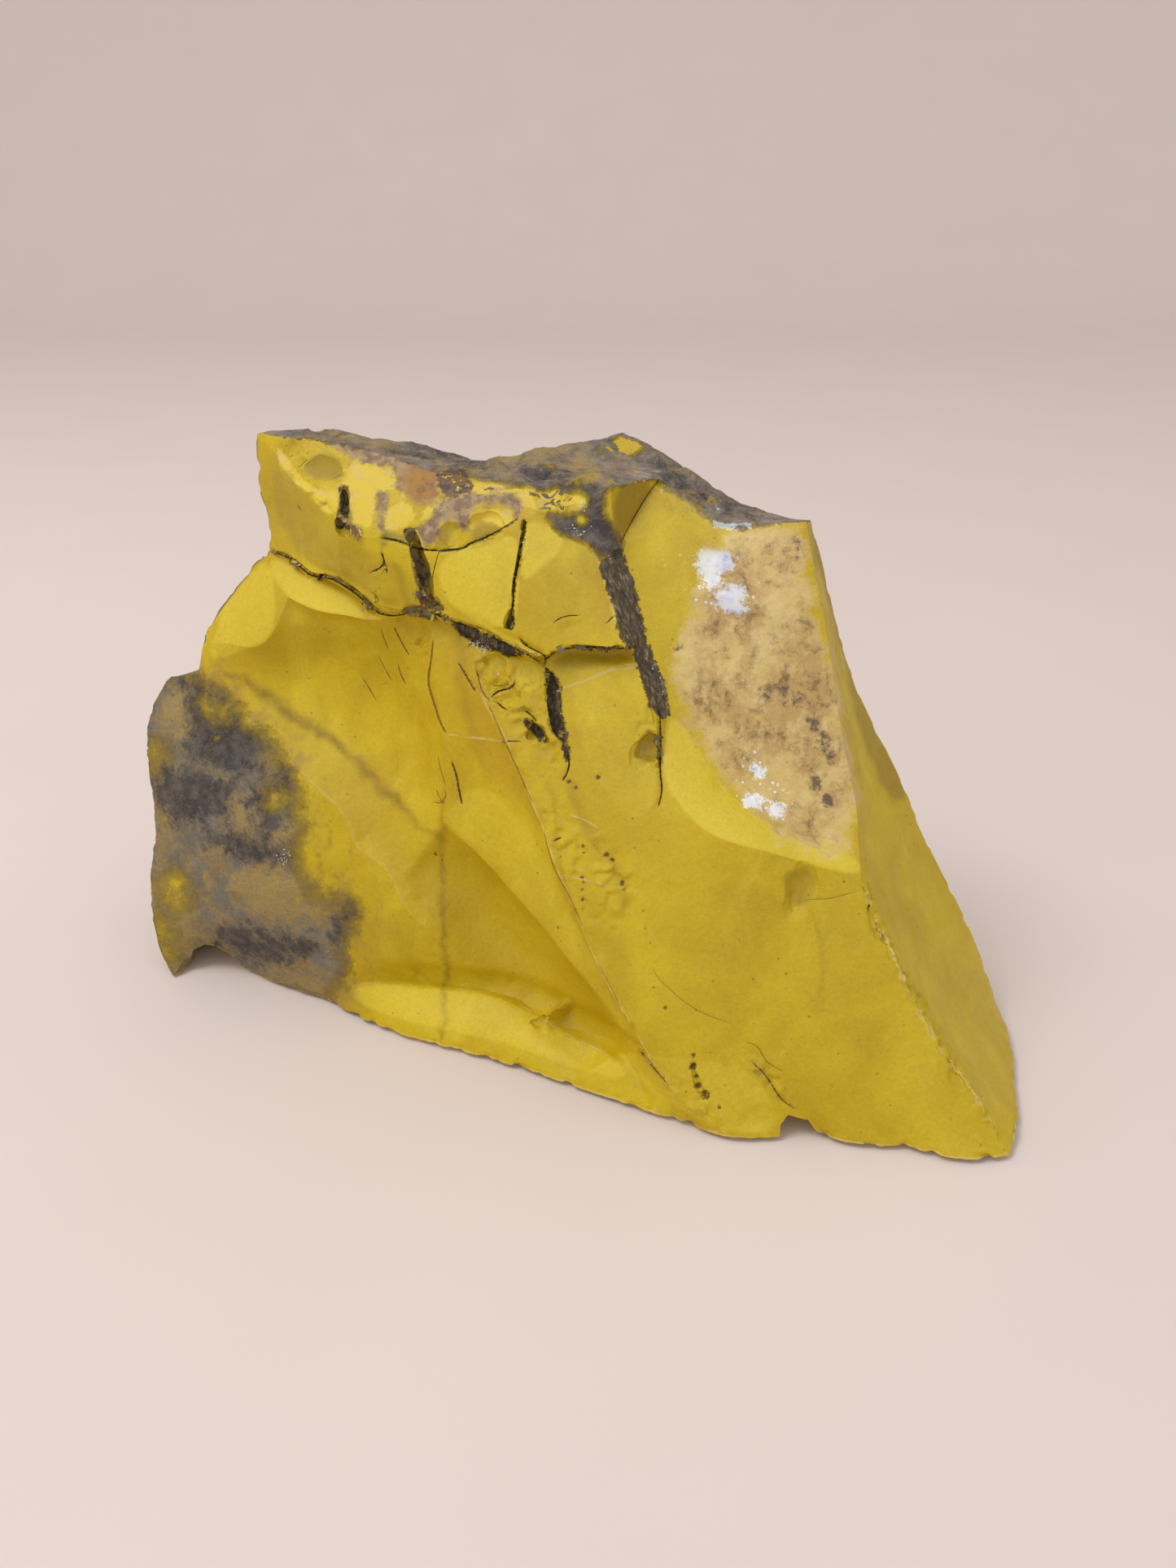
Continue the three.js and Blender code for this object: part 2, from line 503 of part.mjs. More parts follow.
function fillFace({ round, dish, rough = 0, coarse = false, from = null }) {
  const loop = loopAround(round);
  const places = loop.map((id) => netPoints[id]);
  const normal = from ? new THREE.Vector3(...from).normalize() : loopNormal(places);
  const across = new THREE.Vector3(0, 0, 1).cross(normal);
  if (across.length() < LEAST_ACROSS) {
    across.set(1, 0, 0);
  }
  across.addScaledVector(normal, -across.dot(normal)).normalize();
  const up = normal.clone().cross(across);
  const flat = places.map((place) => new THREE.Vector2(place.dot(across), place.dot(up)));
  const heights = places.map((place) => place.dot(normal));
  const rim = flat.length;
  const triangles = THREE.ShapeUtils.triangulateShape(flat, []).map((corners) => [...corners]);
  triangles.forEach((corners) => {
    if (area(...corners.map((id) => flat[id])) < 0) {
      corners.reverse();
    }
  });
  const longest = SPLIT_FACTOR * (coarse ? REAR_GRAIN : FRONT_GRAIN);
  flipEdges(flat, triangles);
  while (splitEdges(flat, triangles, longest)) {
    flipEdges(flat, triangles);
    for (let pass = 0; pass < SMOOTH_PASSES; pass += 1) {
      evenOut(flat, triangles, rim);
    }
    flipEdges(flat, triangles);
  }
  const neighbours = neighboursOf(flat.length, triangles);
  const mean = heights.reduce((total, height) => total + height, 0) / rim;
  while (heights.length < flat.length) {
    heights.push(mean);
  }
  settle(heights, neighbours, rim, 0);
  const swell = heights.map(() => 0);
  settle(swell, neighbours, rim, 1);
  const most = Math.max(...swell, 1e-9);
  const ids = [...loop];
  for (let id = rim; id < flat.length; id += 1) {
    const share = swell[id] / most;
    const place = across.clone().multiplyScalar(flat[id].x).addScaledVector(up, flat[id].y);
    place.addScaledVector(normal, heights[id] + dish * share);
    place.addScaledVector(normal, rough * Math.sqrt(share) * lumps(place));
    ids.push(addPoint(place));
  }
  triangles.forEach((corners) => netTriangles.push(corners.map((id) => ids[id])));
}

faces.forEach(fillFace);

// ---- Solids ----
const wasm = await Module();
wasm.setup();

function bareCopy(geometry) {
  const bare = geometry.clone();
  bare.deleteAttribute("normal");
  bare.deleteAttribute("uv");
  return bare;
}

function solidFrom(geometry) {
  const merged = mergeVertices(bareCopy(geometry));
  const mesh = new wasm.Mesh({
    numProp: 3,
    vertProperties: new Float32Array(merged.attributes.position.array),
    triVerts: new Uint32Array(merged.index.array),
  });
  return new wasm.Manifold(mesh);
}

const skin = new THREE.BufferGeometry();
const skinPlaces = netPoints.flatMap((place) => place.toArray());
skin.setAttribute("position", new THREE.Float32BufferAttribute(skinPlaces, 3));
skin.setIndex(netTriangles.flat());
let stone = solidFrom(skin);

const skinMesh = new THREE.Mesh(skin, STONE);
skin.computeVertexNormals();

// The place on the skin that a straight line towards the stone first meets, with the outward normal there.
function onSkin(start, direction) {
  const ray = new THREE.Raycaster(start, direction);
  const [first] = ray.intersectObject(skinMesh);
  return { place: first.point, normal: first.face.normal.clone() };
}

// A ball of radius 1 with an uneven outline, so that no two hollows are alike.
function roughBall(detail, unevenness, place) {
  const ball = mergeVertices(bareCopy(new THREE.IcosahedronGeometry(1, detail)));
  const corners = ball.attributes.position;
  const corner = new THREE.Vector3();
  for (let index = 0; index < corners.count; index += 1) {
    corner.fromBufferAttribute(corners, index);
    const bump = noise.noise3d(corner.x * 1.3 + place.x, corner.y * 1.3 + place.z, place.y);
    corner.x *= 1 + unevenness * bump;
    corner.y *= 1 + unevenness * bump;
    corners.setXYZ(index, corner.x, corner.y, corner.z);
  }
  return ball;
}

// An oval cutter on the skin. across and up are the hollow's size and deep its depth; a shallow scar
// stands its cutter's centre off the skin, a slot keeps it on the skin. lean turns it, in degrees.
function ovalCutter({ place, normal }, { across, up, deep, lean = 0, slot = false }) {
  const radius = slot ? deep : deep * SCAR_RADIUS;
  const standOff = radius - deep;
  const spread = Math.sqrt(1 - (standOff / radius) ** 2);
  const wide = Math.max(across, up) > WIDE_SCAR;
  const oval = roughBall(slot ? 1 : 2, wide ? WIDE_BUMP : OUTLINE_BUMP, place);
  oval.scale(across / 2 / spread, up / 2 / spread, radius);
  oval.rotateZ(THREE.MathUtils.degToRad(lean));
  const right = new THREE.Vector3(0, 0, 1).cross(normal).normalize();
  const above = normal.clone().cross(right);
  oval.applyMatrix4(new THREE.Matrix4().makeBasis(right, above, normal));
  const centre = place.clone().addScaledVector(normal, standOff);
  return solidFrom(oval.translate(centre.x, centre.y, centre.z));
}

function cutOvals(cuts, spotOf) {
  for (const cut of cuts) {
    stone = stone.subtract(ovalCutter(spotOf(cut), cut));
  }
}

const fromFront = ({ x, z }) => onSkin(new THREE.Vector3(x, -OUTSIDE, z), new THREE.Vector3(0, 1, 0));
const fromRear = ({ x, z }) => onSkin(new THREE.Vector3(x, OUTSIDE, z), new THREE.Vector3(0, -1, 0));
const fromAbove = ({ x, y }) => onSkin(new THREE.Vector3(x, y, OUTSIDE), new THREE.Vector3(0, 0, -1));

cutOvals(frontCuts, fromFront);
cutOvals(rearCuts, fromRear);
cutOvals(crownCuts, fromAbove);

// Nicks bitten out of the long right-hand ridge, every few millimetres and of uneven size.
const bittenRidge = ridgeIds.get("ridgeLow").map((id) => netPoints[id]);
bittenRidge.slice(1, -1).forEach((place, index) => {
  const size = NICK_SIZES[index % NICK_SIZES.length];
  const nick = new THREE.IcosahedronGeometry(size, 1).rotateX(index).rotateY(2 * index);
  const centre = place.clone().addScaledVector(NICK_STAND_OFF, size);
  stone = stone.subtract(solidFrom(nick.translate(centre.x, centre.y, centre.z)));
});

// The arch between the foot and the lobe's lower edge.
const arch = new THREE.IcosahedronGeometry(1, 3).scale(ARCH.halfWidth, ARCH.reach, ARCH.height);
stone = stone.subtract(solidFrom(arch.translate(ARCH.x, ARCH.y, 0)));

// The notch in the front's lower edge.
const wedge = new THREE.Shape(NOTCH_OUTLINE.map(([x, z]) => new THREE.Vector2(x, z)));
const notch = new THREE.ExtrudeGeometry(wedge, { depth: NOTCH.reach, bevelEnabled: false });
notch.rotateX(Math.PI / 2).translate(NOTCH.x, NOTCH.rearY, 0);
stone = stone.subtract(solidFrom(notch));

// What would lie below the surface the stone stands on is ground away: the flat it rests on.
const surface = new THREE.BoxGeometry(HALF_SPACE, HALF_SPACE, HALF_SPACE).translate(0, 0, -HALF_SPACE / 2);
stone = stone.subtract(solidFrom(surface));
const DOWN = new THREE.Vector3(0, 0, -1);
cutOvals(soleCuts, ({ x, y }) => ({ place: new THREE.Vector3(x, y, 0), normal: DOWN.clone() }));

// ---- The one mesh, centred over its footprint ----
const cut = stone.getMesh();
const body = new THREE.BufferGeometry();
body.setAttribute("position", new THREE.Float32BufferAttribute(cut.vertProperties, 3));
body.setIndex([...cut.triVerts]);
body.computeBoundingBox();
const middle = body.boundingBox.getCenter(new THREE.Vector3());
body.translate(-middle.x, -middle.y, -body.boundingBox.min.z);
body.computeVertexNormals();

const mookaite = new THREE.Mesh(body, STONE);
mookaite.name = "mookaite";

const part = new THREE.Group();
part.add(mookaite);

export default part;
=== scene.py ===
"""Rough mookaite: one broken lump of opaque yellow jasper with a dark weathered crust.

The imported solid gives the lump's form. This script lays a finer skin over a copy of it, works the
cracks, chips, crust lumps and ridges into that skin, and dresses it with one layered stone finish.
Lengths are millimetres inside the classes and metres in Blender.
"""

import logging
import math
from dataclasses import dataclass, field
from enum import Enum

import bmesh
import bpy
import numpy as np
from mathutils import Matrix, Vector


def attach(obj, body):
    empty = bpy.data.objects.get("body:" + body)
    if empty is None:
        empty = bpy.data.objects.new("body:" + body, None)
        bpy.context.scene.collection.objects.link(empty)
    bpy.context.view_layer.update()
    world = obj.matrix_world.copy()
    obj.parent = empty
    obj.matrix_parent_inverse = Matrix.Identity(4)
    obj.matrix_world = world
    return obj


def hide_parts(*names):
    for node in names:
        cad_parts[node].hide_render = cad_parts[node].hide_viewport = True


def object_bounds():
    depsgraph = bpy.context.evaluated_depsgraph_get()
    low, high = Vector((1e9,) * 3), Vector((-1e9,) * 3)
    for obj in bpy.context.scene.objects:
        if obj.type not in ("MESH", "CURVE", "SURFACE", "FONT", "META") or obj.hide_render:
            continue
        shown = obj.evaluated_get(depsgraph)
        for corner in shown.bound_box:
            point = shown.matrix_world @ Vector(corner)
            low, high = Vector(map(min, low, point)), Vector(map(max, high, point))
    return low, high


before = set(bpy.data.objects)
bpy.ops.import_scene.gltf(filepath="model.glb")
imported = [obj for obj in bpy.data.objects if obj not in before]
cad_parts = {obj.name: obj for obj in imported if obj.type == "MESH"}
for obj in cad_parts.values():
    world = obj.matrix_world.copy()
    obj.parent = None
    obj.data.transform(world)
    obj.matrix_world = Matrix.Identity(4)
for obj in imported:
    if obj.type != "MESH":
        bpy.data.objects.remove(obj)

CAD_BOX = [list(corner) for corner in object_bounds()]
LOG = logging.getLogger("mookaite")
MM = 0.001
# the longest way in mm that the stone's fields hold
FAR = 9.0
Pixel = tuple[float, float]
Colour = tuple[float, float, float]


def linear(red: int, green: int, blue: int) -> Colour:
    """Turns a screen colour of 0 to 255 a channel into the linear colour that shaders use."""
    shares = [channel / 255 for channel in (red, green, blue)]
    return tuple(s / 12.92 if s <= 0.04045 else ((s + 0.055) / 1.055) ** 2.4 for s in shares)


def soft_step(low: float, high: float, value: np.ndarray) -> np.ndarray:
    """Rises smoothly from 0 at low to 1 at high; low may be the larger one."""
    share = np.clip((value - low) / (high - low), 0, 1)
    return share * share * (3 - 2 * share)


# ---- The view that the front's marks are placed from ----


@dataclass(frozen=True)
class Sight:
    """The point the lump is looked at from; marks on the front are placed by pixels of this view."""

    place: tuple[float, float, float] = (5.364, -182.682, 137.0)
    pitch: float = math.radians(27)
    focal: float = 1450.0
    width: int = 1445
    height: int = 1927
    sensor: float = 36.0

    def ahead_and_up(self, points: np.ndarray) -> tuple[np.ndarray, np.ndarray, np.ndarray]:
        """Splits points into how far right, ahead and up they lie from the eye.

        Args:
            points: places in mm, one per row.

        Returns:
            Three arrays: right, ahead and up, in mm.
        """
        offset = points - np.array(self.place)
        cosine, sine = math.cos(self.pitch), math.sin(self.pitch)
        ahead = offset[:, 1] * cosine - offset[:, 2] * sine
        up = offset[:, 1] * sine + offset[:, 2] * cosine
        return offset[:, 0], ahead, up

    def pixels(self, points: np.ndarray) -> np.ndarray:
        """Gives each point's pixel in the view.

        Args:
            points: places in mm, one per row.

        Returns:
            Each point's pixel across and down.
        """
        right, ahead, up = self.ahead_and_up(points)
        across = self.width / 2 + self.focal * right / ahead
        down = self.height / 2 - self.focal * up / ahead
        return np.stack([across, down], axis=1)

    def pixels_per_mm(self, points: np.ndarray) -> np.ndarray:
        """Gives how many pixels a millimetre square to the view spans at each point."""
        return self.focal / self.ahead_and_up(points)[1]

    def facing(self, points: np.ndarray, normals: np.ndarray) -> np.ndarray:
        """Gives the cosine between each normal and the way to the eye.

        Args:
            points: places in mm.
            normals: the points' normals.

        Returns:
            One cosine a point.
        """
        way = np.array(self.place) - points
        way /= np.linalg.norm(way, axis=1, keepdims=True)
        return (way * normals).sum(axis=1)

    def build_camera(self) -> bpy.types.Object:
        """Makes the camera of this view and hands it to the scene.

        Returns:
            The camera's object.
        """
        data = bpy.data.cameras.new("sight")
        data.sensor_width = self.sensor
        data.lens = self.focal / self.height * self.sensor
        data.clip_start = 0.01
        camera = bpy.data.objects.new("sight", data)
        camera.location = Vector(self.place) * MM
        camera.rotation_euler = (math.pi / 2 - self.pitch, 0, 0)
        bpy.context.scene.collection.objects.link(camera)
        bpy.context.scene.camera = camera
        return camera


# ---- Noise for moving the skin's points ----


class RockNoise:
    """Smooth seeded noise in space, about -1 to 1."""

    def __init__(self, seed: int) -> None:
        """Draws the noise's slopes and its shuffle from the seed.

        Args:
            seed: the number that settles every draw.
        """
        draw = np.random.default_rng(seed)
        slopes = draw.normal(size=(256, 3))
        self.slopes = slopes / np.linalg.norm(slopes, axis=1, keepdims=True)
        self.shuffle = draw.permutation(256)

    def at(self, points: np.ndarray, size: float, layers: int = 1, gain: float = 0.5) -> np.ndarray:
        """Gives the noise at each point.

        Args:
            points: places in mm, one per row.
            size: mm from one bump to the next in the coarsest layer.
            layers: how many ever finer layers are added up.
            gain: each layer's strength as a share of the one before.

        Returns:
            One value for each point.
        """
        total = np.zeros(len(points))
        strength, full = 1.0, 0.0
        for layer in range(layers):
            total += strength * self._one(points * (2**layer / size) + 17.3 * layer)
            full += strength
            strength *= gain
        return total / full

    def _one(self, grid: np.ndarray) -> np.ndarray:
        """Gives one layer's noise at points in grid units.

        Args:
            grid: places in units of the noise's size.

        Returns:
            One value for each point.
        """
        cell = np.floor(grid).astype(np.int64)
        inside = grid - cell
        fade = inside**3 * (inside * (inside * 6 - 15) + 10)
        value = np.zeros(len(grid))
        for corner in range(8):
            step = np.array([corner & 1, corner >> 1 & 1, corner >> 2 & 1])
            key = (cell + step) & 255
            mixed = self.shuffle[key[:, 0]] + key[:, 1]
            mixed = self.shuffle[mixed & 255] + key[:, 2]
            slope = self.slopes[self.shuffle[mixed & 255]]
            weight = np.prod(np.where(step == 1, fade, 1 - fade), axis=1)
            value += weight * (slope * (inside - step)).sum(axis=1)
        return value * 1.6


# ---- Marks on the front ----


class Mark(Enum):
    """What a line or a patch on the stone is."""

    CRACK = "an open crack"
    SCRATCH = "a brown scratch that iron has crept into"
    VEIN = "a smoky vein"
    GREY = "a grey film"
    HAIR = "a pale healed hairline"
    RIDGE = "a ridge that is crisp though its faces meet at a low angle"
    RUGGED = "a ridge that is worn rough"
    CRUST = "dark weathered crust"
    WINDOW = "fresh jasper that the crust leaves open"
    BLOT = "a near black blot on the crust"
    TAN = "a tan blot on the crust"
    FIBRE = "the fibrous wall of a seam"
    HOLE = "a hollow that opens from a crack"
    RUST = "rust and grit"
    CHALK = "a chalky yellow film"
    CHALCEDONY = "brown chalcedony"
    ORANGE = "an orange tint"
    PATINA = "brown patina"
    SMOKE = "a dark stain on the patina"
    SPARKLE = "a bed of tiny quartz crystals"
    GLOSS = "a spot that shines as if wet"
    # painted light: a facet drawn lighter where it faces the light
    PAINTED_LIGHT = "a facet of lighter yellow"
    # painted shade: a facet drawn deeper yellow where it turns from the light
    PAINTED_SHADE = "a facet of deeper yellow"
    # olive yellow, partly the stone's own tone and partly painted shade
    OLIVE_AND_SHADE = "a facet of olive yellow"
    SOFT = "a fold that has no crisp ridge"
    SHATTER = "jasper shattered into small facets"
    CHIP = "a chip"


def rounded(points: list[Pixel], closed: bool, passes: int = 2) -> np.ndarray:
    """Cuts a polyline's corners so that it runs as smoothly as a natural edge.

    Args:
        points: the polyline's points.
        closed: whether its end joins its start.
        passes: how often the corners are cut.

    Returns:
        The smoother polyline, one point per row.
    """
    line = np.array(points, float)
    for _ in range(passes):
        ahead = np.roll(line, -1, axis=0)
        near, far = line * 0.75 + ahead * 0.25, line * 0.25 + ahead * 0.75
        if not closed:
            near, far = near[:-1], far[:-1]
        cut = np.stack([near, far], axis=1).reshape(-1, 2)
        line = cut if closed else np.concatenate([line[:1], cut, line[-1:]])
    return line


def to_segments(spots: np.ndarray, starts: np.ndarray,
                ends: np.ndarray) -> tuple[np.ndarray, np.ndarray, np.ndarray]:
    """Measures each spot against the nearest of a polyline's segments.

    Args:
        spots: pixels to measure from.
        starts: the segments' starts.
        ends: the segments' ends.

    Returns:
        The way from the nearest point to each spot, how far along the polyline that point is,
        from 0 to 1, and the side of the line that the spot is on, as 1 or -1.
    """
    best = np.full(len(spots), np.inf)
    away = np.zeros((len(spots), 2))
    along = np.zeros(len(spots))
    side = np.ones(len(spots))
    for index, (start, end) in enumerate(zip(starts, ends)):
        way = end - start
        offset = spots - start
        share = np.clip((offset @ way) / max(way @ way, 1e-9), 0, 1)
        rest = offset - share[:, None] * way
        gap = (rest**2).sum(axis=1)
        nearer = gap < best
        best[nearer] = gap[nearer]
        away[nearer] = rest[nearer]
        along[nearer] = (index + share[nearer]) / len(starts)
        turn = way[0] * offset[nearer, 1] - way[1] * offset[nearer, 0]
        side[nearer] = np.where(turn < 0, -1.0, 1.0)
    return away, along, side


def in_frame(spots: np.ndarray, line: np.ndarray, margin: float) -> np.ndarray:
    """Tells which spots lie in the upright frame around a line, widened by a margin in pixels."""
    return ((spots > line.min(axis=0) - margin) & (spots < line.max(axis=0) + margin)).all(axis=1)


@dataclass(frozen=True)
class Trace:
    """A line on the front: a crack, a vein or a ridge."""

    points: list[Pixel]
    half_width: float
    depth: float = 0.0
    strength: float = 1.0
    groove_side: float = 0.2
    groove_floor: float = 0.6
    thinning: float = 0.8
    margin: float = 40.0

    def nearby(self, spots: np.ndarray) -> tuple[np.ndarray, np.ndarray, np.ndarray, np.ndarray]:
        """Gives the spots near the line, and for them what to_segments measures.

        Args:
            spots: pixels to measure.

        Returns:
            Which spots are near, and the ways, shares and sides of those.
        """
        line = rounded(self.points, closed=False)
        near = in_frame(spots, line, self.margin)
        return near, *to_segments(spots[near], line[:-1], line[1:])

    def width_at(self, along: np.ndarray) -> np.ndarray:
        """Gives half the line's width in mm, which runs out towards its ends."""
        return self.half_width * (1 - np.abs(2 * along - 1) ** 4 * self.thinning)

    def reach(self, spots: np.ndarray, scale: np.ndarray) -> np.ndarray:
        """Gives how far inside the line each spot is, in mm; below zero it is outside.

        Args:
            spots: pixels to measure.
            scale: pixels to a mm at each point.

        Returns:
            One value for each spot.
        """
        value = np.full(len(spots), -FAR)
        near, away, along, _ = self.nearby(spots)
        value[near] = self.width_at(along) - np.linalg.norm(away, axis=1) / scale[near]
        return value

    def shape(self, inside: np.ndarray) -> np.ndarray:
        """Gives the share of its depth that the groove has this many mm inside the line."""
        return soft_step(-self.groove_side, self.half_width * self.groove_floor, inside)

    def rise(self, _feather: float) -> tuple[float, float]:
        """Gives how far inside the line, in mm, a soft cover starts and is full."""
        return 0.0, self.half_width


@dataclass(frozen=True)
class Drop:
    """A hollow that falls away along one side of a ridge and so leaves the ridge crisp."""

    points: list[Pixel]
    side: int
    depth: float
    rim: float

    def sunk(self, pixels: np.ndarray, scale: np.ndarray) -> np.ndarray:
        """Gives how deep each pixel lies in the hollow, in mm.

        Args:
            pixels: where the stone's points lie in the view.
            scale: pixels to a mm at each point.

        Returns:
            One depth for each pixel.
        """
        line = rounded(self.points, closed=False)
        away, along, side = to_segments(pixels, line[:-1], line[1:])
        share = np.linalg.norm(away, axis=1) / scale / self.rim
        deep = share * np.exp(1 - share) * soft_step(2.6, 1.2, share)
        ends = soft_step(0, 0.4, along) * soft_step(1.0, 0.88, along)
        return self.depth * deep * ends * (side == self.side)


@dataclass(frozen=True)
class Patch:
    """An area on the front: a blot, a chip or a change of colour."""

    outline: list[Pixel]
    depth: float = 0.0
    rim: float = 0.6
    strength: float = 1.0
    ripples: float = 0.0
    ripple_height: float = 0.18
    ripple_rate: float = 5.0
    margin: float = 60.0

    def shape(self, inside: np.ndarray) -> np.ndarray:
        """Gives the share of its depth that the patch has this many mm inside its outline."""
        share = soft_step(-0.1, self.rim, inside)
        return share * (1 + self.ripple_height * self.ripples * np.sin(inside * self.ripple_rate))

    def rise(self, feather: float) -> tuple[float, float]:
        """Gives how far inside the outline, in mm, a soft cover starts and is full."""
        return -feather, feather

    def reach(self, spots: np.ndarray, scale: np.ndarray) -> np.ndarray:
        """Gives how far inside the outline each spot is, in mm; below zero it is outside.

        Args:
            spots: pixels to measure.
            scale: pixels to a mm at each point.

        Returns:
            One value for each spot.
        """
        line = rounded(self.outline, closed=True)
        near = in_frame(spots, line, self.margin)
        value = np.full(len(spots), -FAR)
        ends = np.roll(line, -1, axis=0)
        here = spots[near]
        gap = np.linalg.norm(to_segments(here, line, ends)[0], axis=1)
        inside = np.zeros(len(here), bool)
        for (x0, y0), (x1, y1) in zip(line, ends):
            if y0 == y1:
                continue
            crosses = (y0 > here[:, 1]) != (y1 > here[:, 1])
            inside ^= crosses & (here[:, 0] < (x1 - x0) * (here[:, 1] - y0) / (y1 - y0) + x0)
        value[near] = np.maximum(np.where(inside, gap, -gap) / scale[near], -FAR)
        return value


@dataclass(frozen=True)
class FrontMarks:
    """Every line, patch, spot and drop of the front, placed by the pixels of the sight."""

    by_kind: dict[Mark, list[Trace | Patch]]
    spots: list[tuple[float, float, float, float]]
    drops: list[Drop]
    farthest: float = 8.0

    def reach(self, kind: Mark, pixels: np.ndarray, scale: np.ndarray) -> np.ndarray:
        """Gives how far inside the marks of one kind each pixel is, in mm.

        Args:
            kind: the kind of mark.
            pixels: where the stone's points lie in the view.
            scale: pixels to a mm at each point.

        Returns:
            One value for each pixel.
        """
        value = np.full(len(pixels), -FAR)
        for mark in self.by_kind[kind]:
            value = np.maximum(value, mark.reach(pixels, scale))
        return value

    def wash(self, kind: Mark, pixels: np.ndarray, scale: np.ndarray, feather: float) -> np.ndarray:
        """Gives a soft cover of 0 to 1 by the marks of one kind, each by its own strength.

        Args:
            kind: the kind of mark.
            pixels: where the stone's points lie in the view.
            scale: pixels to a mm at each point.
            feather: how soft a patch's edge is, in mm.

        Returns:
            One cover for each pixel.
        """
        value = np.zeros(len(pixels))
        for mark in self.by_kind[kind]:
            inside = soft_step(*mark.rise(feather), mark.reach(pixels, scale))
            value = np.maximum(value, mark.strength * inside)
        return value

    def cuts(self, pixels: np.ndarray, scale: np.ndarray) -> np.ndarray:
        """Gives how deep the grooves, chips and spots cut into each pixel, in mm.

        Args:
            pixels: where the stone's points lie in the view.
            scale: pixels to a mm at each point.

        Returns:
            One depth for each pixel.
        """
        deep = np.zeros(len(pixels))
        for kind, group in self.by_kind.items():
            for mark in group:
                if mark.depth > 0 and kind is not Mark.SHATTER:
                    deep = np.maximum(deep, mark.depth * mark.shape(mark.reach(pixels, scale)))
        for across, down, radius, depth in self.spots:
            gap = np.hypot(pixels[:, 0] - across, pixels[:, 1] - down) / scale
            deep = np.maximum(deep, depth * soft_step(radius, radius * 0.4, gap))
        return deep

    def spotted(self, pixels: np.ndarray, scale: np.ndarray) -> np.ndarray:
        """Gives how far inside the dark spots each pixel is, in mm.

        Args:
            pixels: where the stone's points lie in the view.
            scale: pixels to a mm at each point.

        Returns:
            One value for each pixel.
        """
        value = np.full(len(pixels), -FAR)
        for across, down, radius, _ in self.spots:
            gap = np.hypot(pixels[:, 0] - across, pixels[:, 1] - down) / scale
            value = np.maximum(value, radius - gap)
        return value

    def lines(self, pixels: np.ndarray, scale: np.ndarray) -> dict[str, np.ndarray]:
        """Gives the fields that draw the thin lines.

        Args:
            pixels: where the stone's points lie in the view.
            scale: pixels to a mm at each point.

        Returns:
            "across" runs from one side of the nearest line to the other, -1 and 1 at its edges;
            "crack", "scratch" and "hair" are the cover of each kind of line around there.
        """
        count = len(pixels)
        best = np.full(count, np.inf)
        kinds = {"crack": Mark.CRACK, "scratch": Mark.SCRATCH, "hair": Mark.HAIR}
        fields = {"across": np.full(count, self.farthest)} | {name: np.zeros(count) for name in kinds}
        for kind in kinds.values():
            for trace in self.by_kind[kind]:
                near, away, along, side = trace.nearby(pixels)
                gap = np.full(count, np.inf)
                gap[near] = np.linalg.norm(away, axis=1) / scale[near]
                nearer = gap < best
                best[nearer] = gap[nearer]
                chosen = nearer[near]
                width = trace.width_at(along[chosen])
                across = side[chosen] * gap[nearer] / width
                fields["across"][nearer] = np.clip(across, -self.farthest, self.farthest)
                cover = trace.strength * soft_step(1.1, 0.6, gap[nearer])
                cover = cover * soft_step(0.5, 0.47, np.abs(along[chosen] - 0.5))
                for name, other in kinds.items():
                    fields[name][nearer] = cover if other is kind else 0.0
        return fields

    def closeness(self, pixels: np.ndarray, scale: np.ndarray) -> np.ndarray:
        """Gives each pixel's distance in mm to the nearest mark that needs a fine skin.

        Args:
            pixels: where the stone's points lie in the view.
            scale: pixels to a mm at each point.

        Returns:
            One distance for each pixel.
        """
        nearest = np.full(len(pixels), FAR)
        for kind in (Mark.CRACK, Mark.HOLE, Mark.FIBRE, Mark.CHIP, Mark.SCRATCH, Mark.HAIR, Mark.RUGGED):
            for mark in self.by_kind[kind]:
                nearest = np.minimum(nearest, np.abs(mark.reach(pixels, scale)))
        for patch in self.by_kind[Mark.SHATTER]:
            nearest = np.minimum(nearest, np.maximum(-patch.reach(pixels, scale), 0.9))
        for across, down, radius, _ in self.spots:
            gap = np.hypot(pixels[:, 0] - across, pixels[:, 1] - down) / scale
            nearest = np.minimum(nearest, np.abs(gap - radius))
        return nearest


# polylines that more than one mark follows
LONG_CREASE = [(545, 1012), (558, 1022), (597, 1059), (656, 1127), (685, 1162), (732, 1223), (773, 1288)]
LEDGE_LIP = [(428, 1214), (480, 1208), (539, 1214), (597, 1220), (638, 1234), (685, 1266), (729, 1288),
    (773, 1312)]
SPUR = [(585, 804), (592, 859), (611, 887), (622, 914), (636, 947), (650, 981), (666, 1015), (682, 1071),
    (697, 1097), (715, 1138), (732, 1182), (747, 1209)]
LOBE_RIDGE = [(264, 856), (295, 884), (328, 907), (365, 943), (398, 974), (429, 1008), (441, 1047),
    (463, 1058), (480, 1075), (498, 1115), (530, 1147)]

